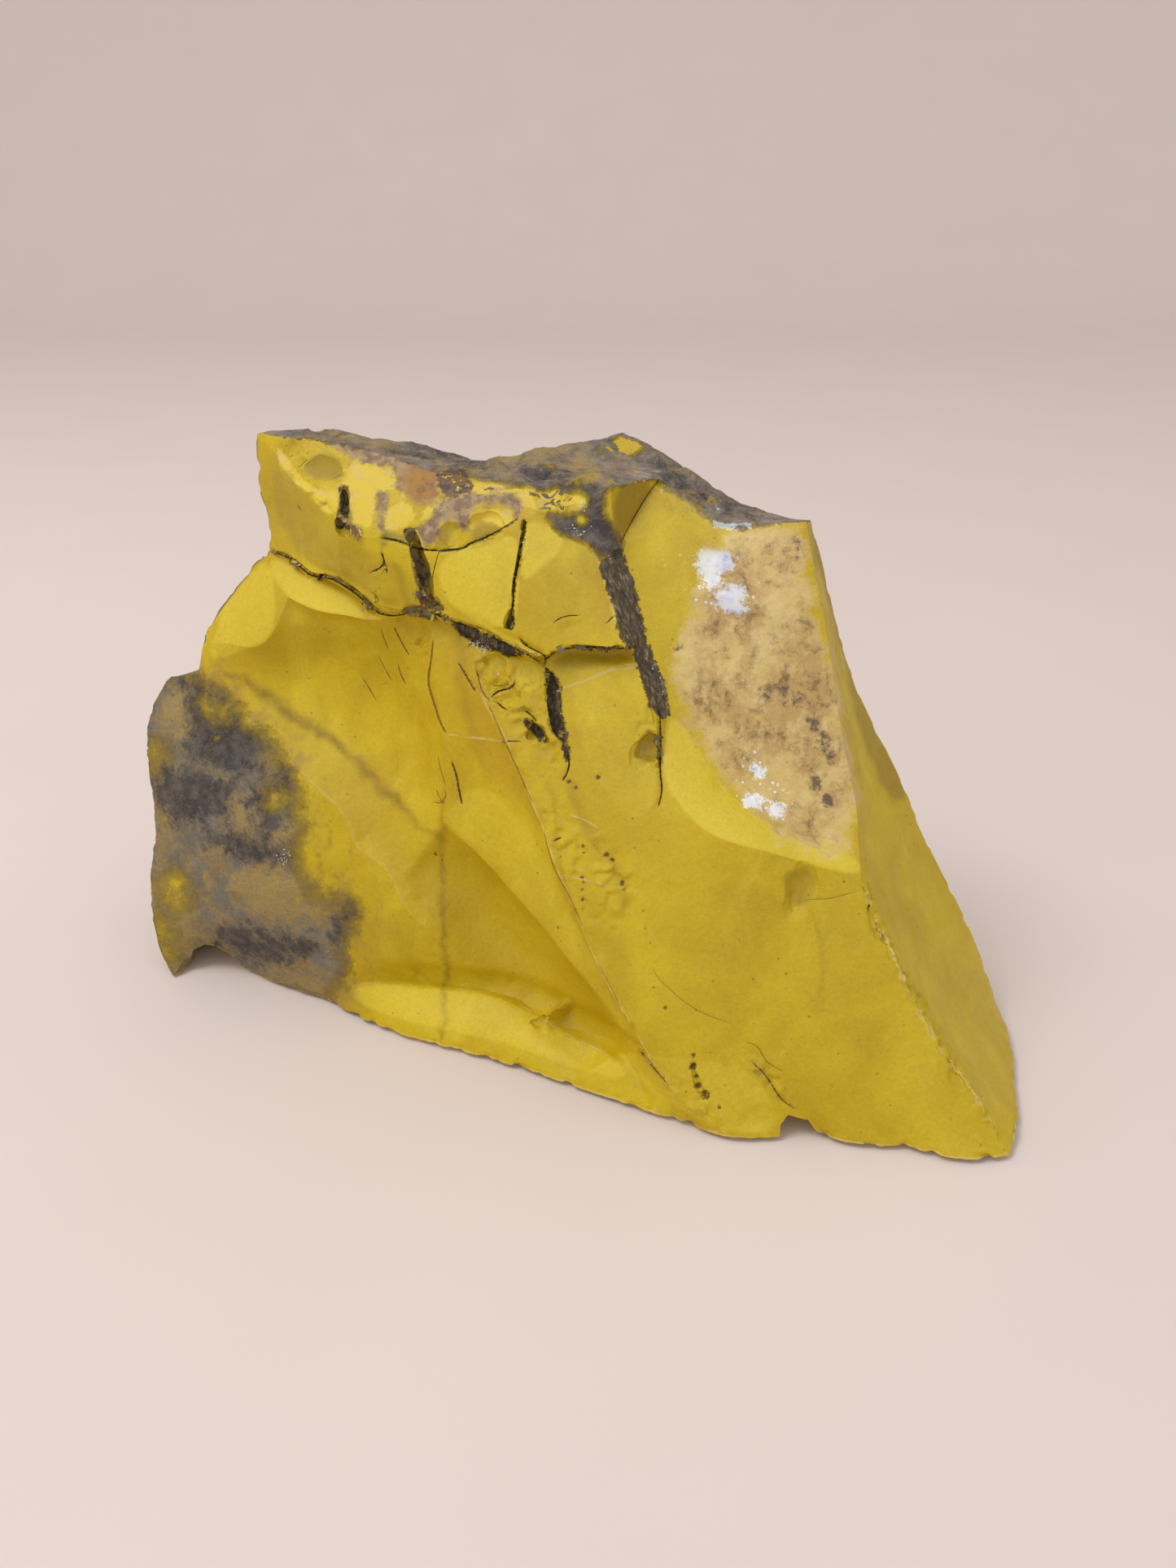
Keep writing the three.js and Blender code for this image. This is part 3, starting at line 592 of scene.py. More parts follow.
CRACKS = [
    # the long crack across the front, in two halves
    Trace([(333, 677), (355, 685), (369, 697), (384, 709), (406, 710), (422, 719), (441, 732), (457, 748),
        (471, 756), (490, 757), (502, 752)], 0.19, 0.72),
    Trace([(530, 752), (545, 760), (565, 766), (586, 774), (620, 790), (642, 802), (668, 816)], 0.16, 0.63),
    # under the upper block
    Trace([(666, 816), (680, 802), (692, 797), (723, 795), (750, 798), (772, 796), (783, 795)], 0.16, 0.63),
    # across the horn's foot
    Trace([(469, 661), (486, 664), (502, 669), (514, 675), (541, 677), (560, 675), (571, 673), (578, 667),
        (596, 661), (618, 649), (636, 637)], 0.16, 0.41),
    # down the upper block
    Trace([(644, 640), (642, 663), (637, 694), (632, 712), (630, 745), (627, 760)], 0.16, 0.63),
    # below the seams
    Trace([(811, 874), (812, 911), (811, 951), (814, 971), (809, 991)], 0.16, 0.5),
    Trace([(697, 928), (700, 940), (696, 952), (692, 958)], 0.18, 0.32),
    # among the shattered jasper
    Trace([(604, 856), (612, 849), (628, 846), (633, 838)], 0.18, 0.36),
    Trace([(638, 784), (645, 793), (655, 798), (668, 804), (672, 812)], 0.14, 0.32),
    Trace([(610, 862), (616, 868), (622, 872)], 0.16, 0.27),
    Trace([(645, 873), (652, 878), (659, 886)], 0.13, 0.23),
    # short ones near the crown
    Trace([(810, 589), (797, 606), (782, 630), (770, 652), (762, 668)], 0.11, 0.14),
    Trace([(471, 686), (471, 694), (466, 699), (455, 703)], 0.16, 0.23),
    Trace([(469, 678), (472, 690), (476, 704)], 0.19, 0.23),
    Trace([(418, 600), (424, 612), (421, 626), (415, 640)], 0.16, 0.36),
    Trace([(540, 676), (533, 700), (531, 712)], 0.08, 0.09),
    Trace([(680, 765), (692, 757), (712, 756)], 0.1, 0.14),
    Trace([(745, 766), (755, 756)], 0.11, 0.14),
    Trace([(640, 911), (620, 911), (617, 912)], 0.1, 0.14),
]
IRON_SCRATCHES = [
    # at the notch and the lower right
    Trace([(976, 1362), (964, 1355), (956, 1346), (948, 1332), (938, 1318), (924, 1305)], 0.17, 0.26, 0.85),
    Trace([(916, 1281), (927, 1283), (934, 1290), (939, 1302), (948, 1309), (962, 1317)], 0.1, 0.12, 0.75),
    Trace([(801, 1187), (808, 1202), (819, 1212), (834, 1226), (859, 1244), (901, 1259)], 0.09, 0.1, 0.6),
    Trace([(985, 1107), (1000, 1105), (1015, 1105), (1030, 1102), (1057, 1094)], 0.08, 0.1, 0.7),
    Trace([(784, 1289), (796, 1304), (808, 1318), (822, 1334)], 0.16, 0.3, 0.9),
    # over the bowl
    Trace([(564, 815), (574, 833), (584, 850)], 0.15, 0.2),
    Trace([(586, 823), (589, 838), (593, 852), (603, 862)], 0.12, 0.15),
    Trace([(484, 770), (491, 785), (503, 806)], 0.13, 0.15),
    Trace([(468, 772), (472, 786), (478, 799)], 0.09, 0.1),
    Trace([(465, 806), (472, 820), (481, 836)], 0.09, 0.1),
    Trace([(489, 816), (492, 828), (499, 842)], 0.11, 0.1),
    Trace([(445, 832), (455, 848), (463, 862)], 0.09, 0.1),
    Trace([(555, 936), (561, 952), (564, 972), (568, 989)], 0.26, 0.15),
    Trace([(538, 928), (541, 945), (548, 966)], 0.11, 0.05, 0.7),
    Trace([(532, 985), (542, 988), (549, 978), (546, 968)], 0.12, 0.05, 0.8),
    Trace([(536, 970), (540, 980), (546, 990)], 0.11, 0.05, 0.8),
    Trace([(455, 727), (462, 731), (466, 738), (460, 741)], 0.11, 0.05, 0.8),
    Trace([(462, 726), (460, 735), (464, 742)], 0.09, 0.05, 0.8),
    Trace([(575, 795), (581, 789), (585, 780)], 0.15, 0.2),
    Trace([(365, 620), (371, 628)], 0.11, 0.05),
    Trace([(679, 1034), (690, 1029)], 0.21, 0.15),
    Trace([(600, 866), (611, 890), (623, 917), (638, 950), (655, 988)], 0.15, 0.12, 0.7),
    Trace([(668, 1020), (675, 1050), (683, 1073), (699, 1099), (716, 1139)], 0.13, 0.1, 0.7),
    Trace([(736, 1187), (750, 1212), (764, 1240)], 0.12, 0.1, 0.6),
    Trace([(532, 786), (530, 811), (525, 836), (533, 864), (542, 891), (549, 902)], 0.26, 0.14, 0.8),
]
SMOKY_VEINS = [
    # the long one across the bowl, and its branches
    Trace([(262, 822), (300, 832), (335, 861), (377, 888), (403, 905), (430, 928), (453, 951), (490, 990),
        (528, 1028)], 1.7, strength=0.7),
    Trace([(500, 1004), (530, 1029), (550, 1018)], 1.08, strength=0.36),
    Trace([(545, 975), (540, 1010), (545, 1100), (549, 1190), (545, 1240), (540, 1290)], 0.9, strength=0.5),
    Trace([(393, 850), (395, 880), (400, 905)], 1.15, strength=0.22),
    Trace([(500, 1180), (535, 1215), (560, 1218)], 0.94, strength=0.18),
    Trace([(560, 770), (566, 800), (566, 840), (580, 900), (600, 960)], 1.44, strength=0.2),
    Trace([(1005, 1120), (1008, 1160), (1012, 1200), (1010, 1237)], 0.65, strength=0.29),
    Trace([(700, 960), (712, 1000), (735, 1040), (765, 1085), (770, 1130)], 1.73, strength=0.26),
    Trace([(480, 690), (492, 712), (510, 748)], 1.15, strength=0.32),
    Trace([(675, 950), (680, 1010), (690, 1080), (716, 1150)], 0.72, strength=0.29),
    # swirls beside the lobe
    Trace([(372, 1018), (392, 1010), (410, 1028), (404, 1050)], 0.5, strength=0.55),
    Trace([(386, 1066), (400, 1080), (425, 1076), (436, 1058), (430, 1040)], 0.45, strength=0.5),
    Trace([(384, 1040), (393, 1062), (388, 1088), (400, 1104)], 0.5, strength=0.5),
    Trace([(366, 985), (380, 1000), (386, 1022)], 0.6, strength=0.5),
    Trace([(320, 960), (342, 948), (366, 944), (392, 962)], 0.3, strength=0.4),
]
GREY_FILMS = [
    Trace([(470, 600), (468, 625), (474, 657), (470, 672)], 1.2, strength=0.6),
    Trace([(334, 560), (340, 610), (358, 650), (400, 676), (440, 700), (470, 716)], 4.0, strength=0.22),
    Trace([(418, 596), (424, 615), (428, 640), (444, 668)], 1.3, strength=0.7),
    Trace([(466, 655), (486, 660), (505, 664), (512, 650)], 1.0, strength=0.7),
]
HEALED_HAIRLINES = [
    Trace([(549, 902), (575, 906), (597, 908), (620, 911)], 0.24),
    Trace([(620, 911), (634, 906), (648, 899)], 0.2),
    Trace([(684, 848), (700, 843), (721, 836), (751, 823), (781, 820)], 0.24),
    Trace([(714, 838), (735, 829), (758, 818), (780, 815)], 0.18),
    Trace([(698, 1001), (722, 1008), (735, 1018)], 0.2),
    Trace([(690, 1075), (715, 1080), (745, 1088), (768, 1092)], 0.2),
    Trace([(520, 671), (505, 668), (490, 661), (474, 661)], 0.26),
    Trace([(540, 680), (560, 678), (580, 672), (600, 666)], 0.2),
    Trace([(539, 1213), (597, 1219), (638, 1233), (685, 1265), (729, 1287), (773, 1311)], 0.2),
]
CRISP_RIDGES = [
    Trace(LONG_CREASE, 1.0),
    Trace([(244, 831), *LOBE_RIDGE, (553, 1168), (568, 1185), (588, 1215)], 1.0),
    Trace(LEDGE_LIP, 1.2),
]
WORN_RIDGES = [
    # the right ridge
    Trace([(1060, 1074), (1067, 1097), (1083, 1135), (1102, 1178), (1121, 1223), (1152, 1277), (1182, 1319),
        (1209, 1361), (1240, 1400)], 1.3),
    # the base of the bowl
    Trace([(425, 1245), (480, 1270), (524, 1282), (591, 1300), (627, 1311), (668, 1323), (715, 1341),
        (756, 1353), (791, 1364), (832, 1376), (861, 1388), (891, 1397), (914, 1400)], 1.3),
    # the lobe's ridge
    Trace(LOBE_RIDGE, 0.5, strength=0.35),
    # the spur
    Trace([*SPUR, (770, 1250), (800, 1300), (850, 1375)], 1.1, strength=0.7),
    # the base at the right
    Trace([(991, 1382), (1025, 1403), (1083, 1407), (1140, 1417), (1194, 1424), (1242, 1415)], 1.2),
    # beside the long seam
    Trace([(664, 631), (691, 657), (715, 663), (733, 680), (746, 724), (758, 771), (780, 800), (783, 818),
        (796, 861), (809, 878)], 0.6, strength=0.6),
]
CRUST_AREAS = [
    # the crown
    Patch([(352, 520), (392, 512), (445, 516), (505, 530), (560, 542), (603, 556), (640, 542), (700, 530),
        (766, 516), (806, 535), (852, 570), (915, 610), (985, 632), (952, 643), (912, 646), (885, 645),
        (866, 635), (846, 618), (823, 601), (812, 588), (790, 586), (754, 593), (748, 617), (750, 637),
        (754, 661), (762, 673), (752, 684), (739, 692), (727, 673), (707, 661), (689, 658), (674, 646),
        (663, 632), (689, 630), (713, 624), (724, 617), (718, 605), (689, 599), (657, 598), (633, 596),
        (578, 590), (540, 575), (520, 566), (504, 560), (473, 551), (443, 545), (414, 541), (390, 536),
        (359, 534)]),
    # the lobe
    Patch([(200, 822), (246, 824), (268, 850), (300, 880), (326, 905), (345, 930), (364, 952), (372, 985),
        (366, 1015), (360, 1045), (372, 1075), (392, 1098), (414, 1106), (438, 1110), (438, 1135),
        (425, 1160), (428, 1205), (400, 1232), (360, 1228), (300, 1202), (255, 1182), (212, 1216),
        (180, 1165), (170, 1080), (168, 920), (174, 880), (186, 840)]),
]
CRUST_WINDOWS = [
    # on the crown
    Patch([(735, 562), (742, 545), (766, 529), (778, 540), (790, 550), (780, 562), (760, 571)]),
    Patch([(699, 575), (708, 568), (716, 578), (712, 600), (703, 597)]),
    Patch([(671, 572), (680, 563), (692, 568), (684, 577)]),
    Patch([(706, 634), (716, 631), (722, 640), (712, 644)]),
    # on the lobe
    Patch([(180, 914), (190, 910), (199, 925), (196, 944), (184, 948), (178, 930)]),
    Patch([(198, 1080), (212, 1072), (228, 1082), (232, 1106), (216, 1120), (202, 1104)]),
    Patch([(246, 862), (258, 858), (276, 874), (280, 886), (262, 884), (250, 878)]),
    Patch([(376, 990), (396, 1010), (414, 1040), (432, 1070), (436, 1096), (412, 1096), (392, 1082),
        (384, 1050)]),
    Patch([(326, 975), (336, 968), (347, 980), (342, 992), (330, 990)]),
    Patch([(196, 1122), (206, 1130), (212, 1165), (208, 1195), (197, 1180), (192, 1150)]),
]
BLACK_BLOTS = [
    # on the lobe
    Patch([(226, 858), (250, 848), (268, 860), (296, 884), (326, 908), (320, 935), (302, 962), (262, 946),
        (222, 922), (219, 902), (240, 898)]),
    Patch([(186, 952), (215, 946), (262, 950), (287, 972), (275, 1005), (235, 1018), (200, 1008),
        (186, 985)]),
    Patch([(300, 952), (322, 960), (335, 990), (346, 1000), (350, 1012), (332, 1024), (316, 1010),
        (302, 982)]),
    Patch([(342, 955), (362, 948), (369, 960), (358, 970), (352, 998), (344, 985)]),
    Patch([(250, 1018), (300, 1018), (345, 1035), (362, 1050), (358, 1064), (330, 1062), (285, 1048),
        (255, 1038)]),
    Patch([(268, 1140), (300, 1134), (340, 1148), (395, 1158), (392, 1172), (340, 1184), (300, 1180),
        (262, 1158)]),
    Patch([(405, 1152), (414, 1130), (430, 1110), (438, 1118), (428, 1142), (412, 1162)]),
    Patch([(206, 828), (240, 830), (262, 850), (250, 856), (226, 846), (206, 850)]),
    # on the crown
    Patch([(352, 520), (392, 512), (445, 514), (438, 526), (400, 524), (362, 530)]),
    Patch([(500, 530), (560, 545), (600, 560), (575, 572), (530, 556), (500, 548)]),
    Patch([(640, 572), (680, 578), (712, 588), (738, 604), (748, 640), (752, 684), (736, 682), (716, 656),
        (690, 650), (704, 634), (726, 618), (716, 604), (684, 596), (650, 590)]),
    Patch([(800, 560), (850, 588), (900, 620), (950, 636), (900, 636), (850, 612), (812, 584)]),
]
TAN_BLOTS = [
    # on the crown
    Patch([(600, 556), (640, 546), (690, 536), (700, 556), (660, 572), (615, 574)]),
    Patch([(392, 516), (430, 520), (500, 536), (480, 546), (430, 536), (396, 530)]),
    Patch([(700, 552), (730, 560), (736, 590), (716, 592), (700, 580)]),
    # on the lobe
    Patch([(278, 966), (296, 972), (318, 1000), (320, 1024), (300, 1020), (284, 1004)]),
    Patch([(330, 915), (352, 932), (372, 955), (392, 990), (400, 1020), (384, 1050), (374, 1080),
        (355, 1062), (350, 1035), (330, 1030), (350, 1004), (372, 960), (350, 948), (322, 950)]),
    Patch([(300, 1062), (352, 1072), (395, 1088), (420, 1110), (395, 1136), (350, 1140), (310, 1124),
        (282, 1092)]),
    Patch([(205, 850), (230, 846), (238, 870), (236, 894), (215, 904), (200, 880)]),
    Patch([(310, 1192), (350, 1196), (430, 1196), (428, 1222), (380, 1226), (330, 1212)]),
    Patch([(186, 1062), (212, 1064), (240, 1090), (240, 1130), (220, 1190), (196, 1170), (184, 1110)]),
]
SEAM_WALLS = [
    # the long seam
    Patch([(739, 690), (752, 680), (762, 670), (772, 700), (782, 724), (787, 749), (791, 775), (803, 806),
        (812, 825), (823, 865), (822, 880), (811, 886), (796, 861), (783, 818), (780, 800), (766, 788),
        (758, 771), (753, 745), (746, 724), (739, 704)]),
    # the middle seam
    Patch([(669, 818), (676, 824), (684, 832), (690, 850), (689, 870), (693, 889), (700, 921), (701, 938),
        (696, 938), (690, 915), (684, 905), (677, 896), (672, 863), (669, 836)], 1.2, 0.5),
    # along the long crack
    Patch([(553, 762), (587, 773), (633, 797), (644, 806), (631, 808), (605, 799), (590, 795), (575, 785),
        (560, 775)], 0.9, 0.5),
    Patch([(641, 884), (652, 885), (664, 895), (674, 908), (671, 915), (661, 906), (650, 898)], 1.2, 0.4),
]
CRACK_HOLLOWS = [
    Patch([(502, 670), (513, 673), (521, 689), (530, 706), (526, 717), (527, 729), (539, 742), (549, 752),
        (534, 747), (520, 733), (511, 718), (506, 694)], 1.0, 0.5),
    Patch([(491, 752), (502, 744), (520, 745), (531, 752), (540, 766), (525, 758), (505, 758)], 1.2, 0.4),
    Patch([(630, 750), (633, 771), (629, 775), (620, 771)], 0.9, 0.4),
    Patch([(495, 649), (511, 648), (510, 660), (503, 671), (497, 660)], 0.5, 0.4),
    Patch([(417, 600), (427, 603), (430, 622), (428, 640), (420, 652), (412, 648), (414, 628), (418, 614)],
        0.5, 0.5),
]
RUST_SPOTS = [
    Patch([(507, 724), (520, 722), (535, 735), (549, 750), (541, 761), (525, 748), (512, 738)]),
    Patch([(424, 641), (440, 645), (447, 655), (438, 664), (428, 655)]),
    Patch([(534, 562), (545, 561), (560, 570), (582, 588), (580, 606), (560, 611), (543, 610), (535, 592)]),
]
CHALKY_FILMS = [
    # along the crown
    Patch([(578, 591), (633, 597), (657, 599), (689, 600), (707, 603), (722, 612), (713, 625), (689, 631),
        (663, 629), (641, 622), (633, 611), (607, 609), (578, 607)]),
    # on the horn
    Patch([(334, 546), (350, 553), (360, 572), (375, 590), (395, 600), (415, 600), (418, 590), (426, 575),
        (432, 560), (450, 560), (465, 568), (478, 572), (489, 585), (486, 598), (474, 604), (463, 610),
        (458, 630), (452, 650), (444, 648), (430, 638), (430, 615), (424, 602), (417, 604), (410, 634),
        (390, 620), (372, 602), (360, 590), (345, 570)], 0.25, 0.4),
    Patch([(492, 600), (500, 591), (505, 598), (498, 610), (490, 614)]),
    Patch([(512, 648), (518, 630), (530, 616), (550, 612), (546, 617), (532, 626), (522, 642)]),
    Patch([(578, 650), (580, 634), (592, 624), (614, 622), (627, 630), (632, 642), (622, 650), (606, 642),
        (590, 641), (582, 648)], 0.3, 0.5),
    Patch([(538, 570), (548, 572), (557, 586), (550, 590), (543, 582)]),
    Patch([(470, 632), (486, 618), (512, 622), (510, 640), (490, 650), (470, 650)], strength=0.5),
]
CHALCEDONY_BANDS = [
    Patch([(390, 531), (414, 536), (443, 541), (473, 549), (504, 556), (530, 560), (537, 580), (538, 614),
        (520, 622), (500, 612), (489, 596), (489, 582), (466, 575), (437, 565), (420, 556), (402, 546)]),
    Patch([(540, 612), (560, 606), (600, 606), (634, 607), (642, 618), (639, 640), (631, 634), (625, 621),
        (600, 616), (582, 624), (575, 648), (572, 654), (556, 640), (540, 640), (534, 672), (514, 672),
        (510, 652), (524, 638), (534, 622)]),
    Patch([(461, 608), (472, 602), (480, 610), (474, 640), (470, 660), (462, 640)]),
]
ORANGE_TINTS = [
    Patch([(498, 580), (506, 568), (524, 566), (535, 585), (536, 612), (518, 620), (502, 614), (494, 596)],
        strength=1.0),
    Patch([(548, 790), (585, 796), (600, 860), (625, 915), (650, 980), (640, 990), (605, 950), (575, 900),
        (555, 850)], strength=0.4),
    Patch([(256, 822), (275, 838), (306, 866), (296, 872), (268, 850), (252, 832)], strength=0.55),
    Patch([(650, 985), (664, 1000), (668, 1020), (658, 1015)], strength=0.6),
    Patch([(720, 690), (745, 695), (757, 740), (745, 790), (735, 760)], strength=0.3),
]
PATINA_AREAS = [
    Patch([(893, 652), (925, 652), (952, 650), (978, 656), (982, 690), (978, 722), (955, 735), (945, 760),
        (942, 800), (946, 835), (930, 842), (920, 815), (905, 790), (896, 765), (922, 752), (915, 728),
        (897, 720), (902, 690), (893, 672)]),
    Patch([(850, 800), (880, 785), (905, 800), (925, 845), (960, 838), (985, 800), (1008, 790), (1022, 838),
        (1033, 904), (1042, 940), (1047, 990), (1036, 1040), (1002, 1042), (965, 1020), (940, 1000),
        (915, 975), (895, 940), (870, 905), (850, 870), (840, 830)]),
    Patch([(870, 700), (905, 655), (975, 652), (990, 720), (1008, 800), (1036, 900), (1045, 985),
        (1038, 1035), (985, 1030), (930, 990), (880, 930), (845, 880), (830, 830), (850, 760)]),
]
PATINA_STAINS = [
    Patch([(976, 654), (984, 657), (986, 676), (980, 694), (976, 684), (973, 668)], strength=0.55),
    Patch([(993, 957), (1003, 952), (1010, 962), (1008, 972), (998, 970)]),
    Patch([(1008, 977), (1020, 977), (1028, 986), (1025, 994), (1012, 990)]),
    Patch([(985, 880), (1000, 876), (1018, 896), (1030, 935), (1026, 950), (1014, 930), (1000, 905)],
        strength=0.55),
    Patch([(925, 840), (950, 838), (990, 850), (1005, 865), (985, 878), (950, 862), (930, 856)],
        strength=0.45),
    Patch([(818, 795), (836, 786), (842, 792), (828, 806)], strength=0.5),
]
QUARTZ_BEDS = [
    Trace([(643, 652), (641, 672), (637, 694), (633, 712)], 0.45),
    Trace([(738, 640), (742, 665), (756, 700), (770, 745), (784, 780)], 0.35, strength=0.25),
    Trace([(566, 668), (580, 662), (600, 655), (620, 644)], 0.25, strength=0.2),
    Patch([(579, 787), (596, 789), (606, 799), (600, 803), (586, 799)]),
    Patch([(700, 656), (714, 658), (722, 664), (710, 666)], strength=0.8),
    Patch([(710, 618), (724, 614), (722, 632), (714, 630)], strength=0.8),
    Patch([(680, 636), (740, 640), (748, 676), (728, 668), (696, 654)], strength=0.12),
    Patch([(536, 622), (546, 622), (546, 632), (538, 632)], strength=0.5),
    Patch([(568, 626), (577, 626), (576, 636), (569, 636)], strength=0.5),
    Patch([(338, 1046), (358, 1042), (364, 1060), (350, 1066), (338, 1058)], strength=0.6),
    Patch([(800, 806), (812, 826), (822, 862), (814, 868), (800, 838)], strength=0.12),
]
WET_SPOTS = [
    Patch([(868, 670), (880, 667), (893, 675), (899, 690), (891, 700), (883, 706), (880, 727), (871, 722),
        (861, 702), (857, 685)]),
    Patch([(890, 727), (905, 718), (912, 724), (910, 735), (920, 752), (908, 756), (885, 746), (882, 735)]),
    Patch([(931, 788), (936, 786), (942, 802), (938, 812), (931, 806)]),
    Patch([(915, 980), (930, 977), (936, 990), (925, 998), (914, 992)]),
    Patch([(945, 990), (958, 988), (960, 998), (949, 1001)]),
    Patch([(925, 938), (938, 944), (940, 954), (928, 950)]),
    Patch([(820, 596), (835, 610), (860, 628), (880, 640), (905, 642), (930, 640), (920, 646), (885, 648),
        (860, 638), (838, 618), (818, 600)]),
    Patch([(776, 574), (803, 576), (806, 584), (780, 587)]),
    Patch([(578, 786), (602, 790), (606, 800), (588, 798)]),
]
# painted light: facets that face the light, drawn in lighter yellow
PAINTED_LIGHT_FACETS = [
    # the bevels at the upper left
    Patch([(333, 684), (355, 692), (384, 716), (406, 718), (436, 740), (452, 764), (430, 756), (405, 754),
        (377, 746), (354, 734), (340, 716), (330, 702)], strength=0.8),
    Patch([(256, 812), (262, 785), (272, 750), (300, 712), (331, 682), (338, 725), (338, 765), (330, 785),
        (300, 798), (276, 808)], strength=0.7),
    # the ledge
    Patch([(428, 1214), (480, 1208), (539, 1214), (597, 1220), (638, 1234), (685, 1266), (776, 1312),
        (760, 1330), (700, 1310), (600, 1276), (520, 1262), (440, 1236)], strength=0.7),
    # under the patina
    Patch([(822, 884), (830, 880), (853, 910), (891, 975), (945, 1013), (1006, 1047), (1052, 1051),
        (1060, 1078), (1002, 1063), (945, 1047), (891, 1034), (853, 1013), (811, 956)]),
    # the flap
    Patch([(750, 1290), (800, 1296), (860, 1304), (915, 1310), (950, 1350), (955, 1390), (900, 1394),
        (850, 1372), (800, 1345)], strength=0.45),
    # the upper block
    Patch([(640, 645), (668, 640), (700, 668), (655, 706), (640, 720)]),
    Patch([(545, 680), (600, 672), (636, 650), (640, 720), (632, 770), (600, 772), (560, 750), (536, 715)]),
    Patch([(696, 820), (780, 806), (800, 860), (808, 940), (800, 1010), (760, 1000), (716, 930)],
        strength=0.35),
    Patch([(631, 815), (650, 811), (664, 820), (667, 840), (650, 852), (635, 845)], strength=0.6),
    # above the long crease
    Patch([(545, 1012), (560, 980), (600, 960), (660, 1030), (715, 1150), (760, 1240), (790, 1300),
        (773, 1288), (732, 1223), (685, 1162), (656, 1127), (597, 1059)], strength=0.45),
]
# painted shade: facets that turn from the light, drawn in deeper yellow
PAINTED_SHADE_FACETS = [
    # above and below the bowl's vein
    Patch([(262, 830), (330, 862), (400, 905), (470, 962), (545, 1018), (520, 1060), (470, 1050),
        (440, 1030), (398, 974), (350, 925), (300, 880)], strength=0.5),
    Patch([(545, 1014), (597, 1060), (656, 1128), (685, 1164), (732, 1224), (773, 1288), (729, 1280),
        (685, 1258), (638, 1230), (597, 1214), (588, 1212), (553, 1166), (498, 1110), (480, 1070),
        (440, 1010), (470, 960), (528, 1028)], strength=0.6),
    Patch([(590, 640), (600, 680), (600, 740), (620, 760), (640, 720), (636, 660), (628, 640)],
        strength=0.4),
]
# olive yellow: on the horn the stone's own olive grey; elsewhere painted shade
OLIVE_AND_SHADED_FACETS = [
    # on the horn
    Patch([(374, 575), (380, 562), (398, 557), (415, 562), (423, 578), (418, 592), (400, 588), (380, 586)],
        strength=0.8),
    Patch([(340, 570), (400, 628), (440, 665), (500, 700), (528, 742), (480, 756), (420, 712), (366, 680),
        (340, 640), (334, 590)], strength=0.3),
    # painted shade: the recessed facet under the crown, the hollows of two flake scars, a chip and the
    # underside of the upper block's overhang
    Patch([(753, 594), (812, 588), (762, 669), (754, 655)], strength=1.0),
    Patch([(534, 674), (538, 655), (548, 640), (556, 636), (552, 655), (546, 676)], strength=0.7),
    Patch([(576, 664), (580, 652), (590, 642), (606, 642), (618, 650), (600, 660)], strength=0.7),
    Patch([(778, 932), (784, 912), (797, 898), (812, 905), (812, 930), (800, 936)], strength=0.6),
    Patch([(676, 806), (700, 800), (750, 802), (780, 800), (780, 812), (740, 816), (700, 822), (684, 826)],
        strength=0.5),
    # painted shade on the right side facet, which faces away from the light, and in a chip below the patina
    Patch([(990, 642), (1032, 645), (1050, 690), (1070, 790), (1100, 890), (1120, 980), (1090, 985),
        (1056, 900), (1034, 800), (1012, 720)], strength=0.75),
    Patch([(960, 1075), (985, 1062), (1003, 1070), (1004, 1096), (990, 1120), (966, 1108)], strength=0.5),
]
SOFT_FOLDS = [
    Patch([(440, 950), (500, 960), (556, 990), (580, 1050), (580, 1120), (560, 1150), (520, 1110),
        (484, 1060), (452, 1010)]),
    Patch([(640, 1236), (700, 1236), (706, 1280), (690, 1292), (650, 1282)]),
]
SHATTERED_PATCHES = [
    Patch([(585, 800), (606, 800), (630, 812), (668, 822), (668, 860), (690, 905), (690, 950), (660, 925),
        (640, 912), (620, 890), (604, 868), (588, 850)], 0.42),
    Patch([(484, 760), (530, 772), (552, 790), (536, 806), (508, 806), (494, 782)], 0.3),
    Patch([(578, 591), (633, 597), (689, 600), (722, 610), (716, 630), (672, 636), (640, 622), (600, 608)],
        0.4),
    Patch([(345, 530), (375, 545), (388, 590), (414, 616), (420, 645), (400, 634), (362, 596), (340, 560)],
        0.34),
    Patch([(655, 990), (690, 985), (735, 1010), (775, 1060), (790, 1100), (765, 1140), (740, 1160),
        (712, 1120), (682, 1060)], 0.26),
    Patch([(745, 1215), (770, 1240), (800, 1300), (870, 1350), (905, 1395), (860, 1385), (800, 1330),
        (765, 1270)], 0.3),
    Patch([(900, 1270), (940, 1290), (965, 1330), (968, 1370), (930, 1330)], 0.35),
    Patch([(780, 880), (812, 885), (818, 940), (800, 948), (775, 935)], 0.3),
    Patch([(1055, 1070), (1075, 1090), (1105, 1165), (1150, 1250), (1205, 1340), (1235, 1400), (1215, 1395),
        (1165, 1310), (1110, 1215), (1070, 1140)], 0.36),
]
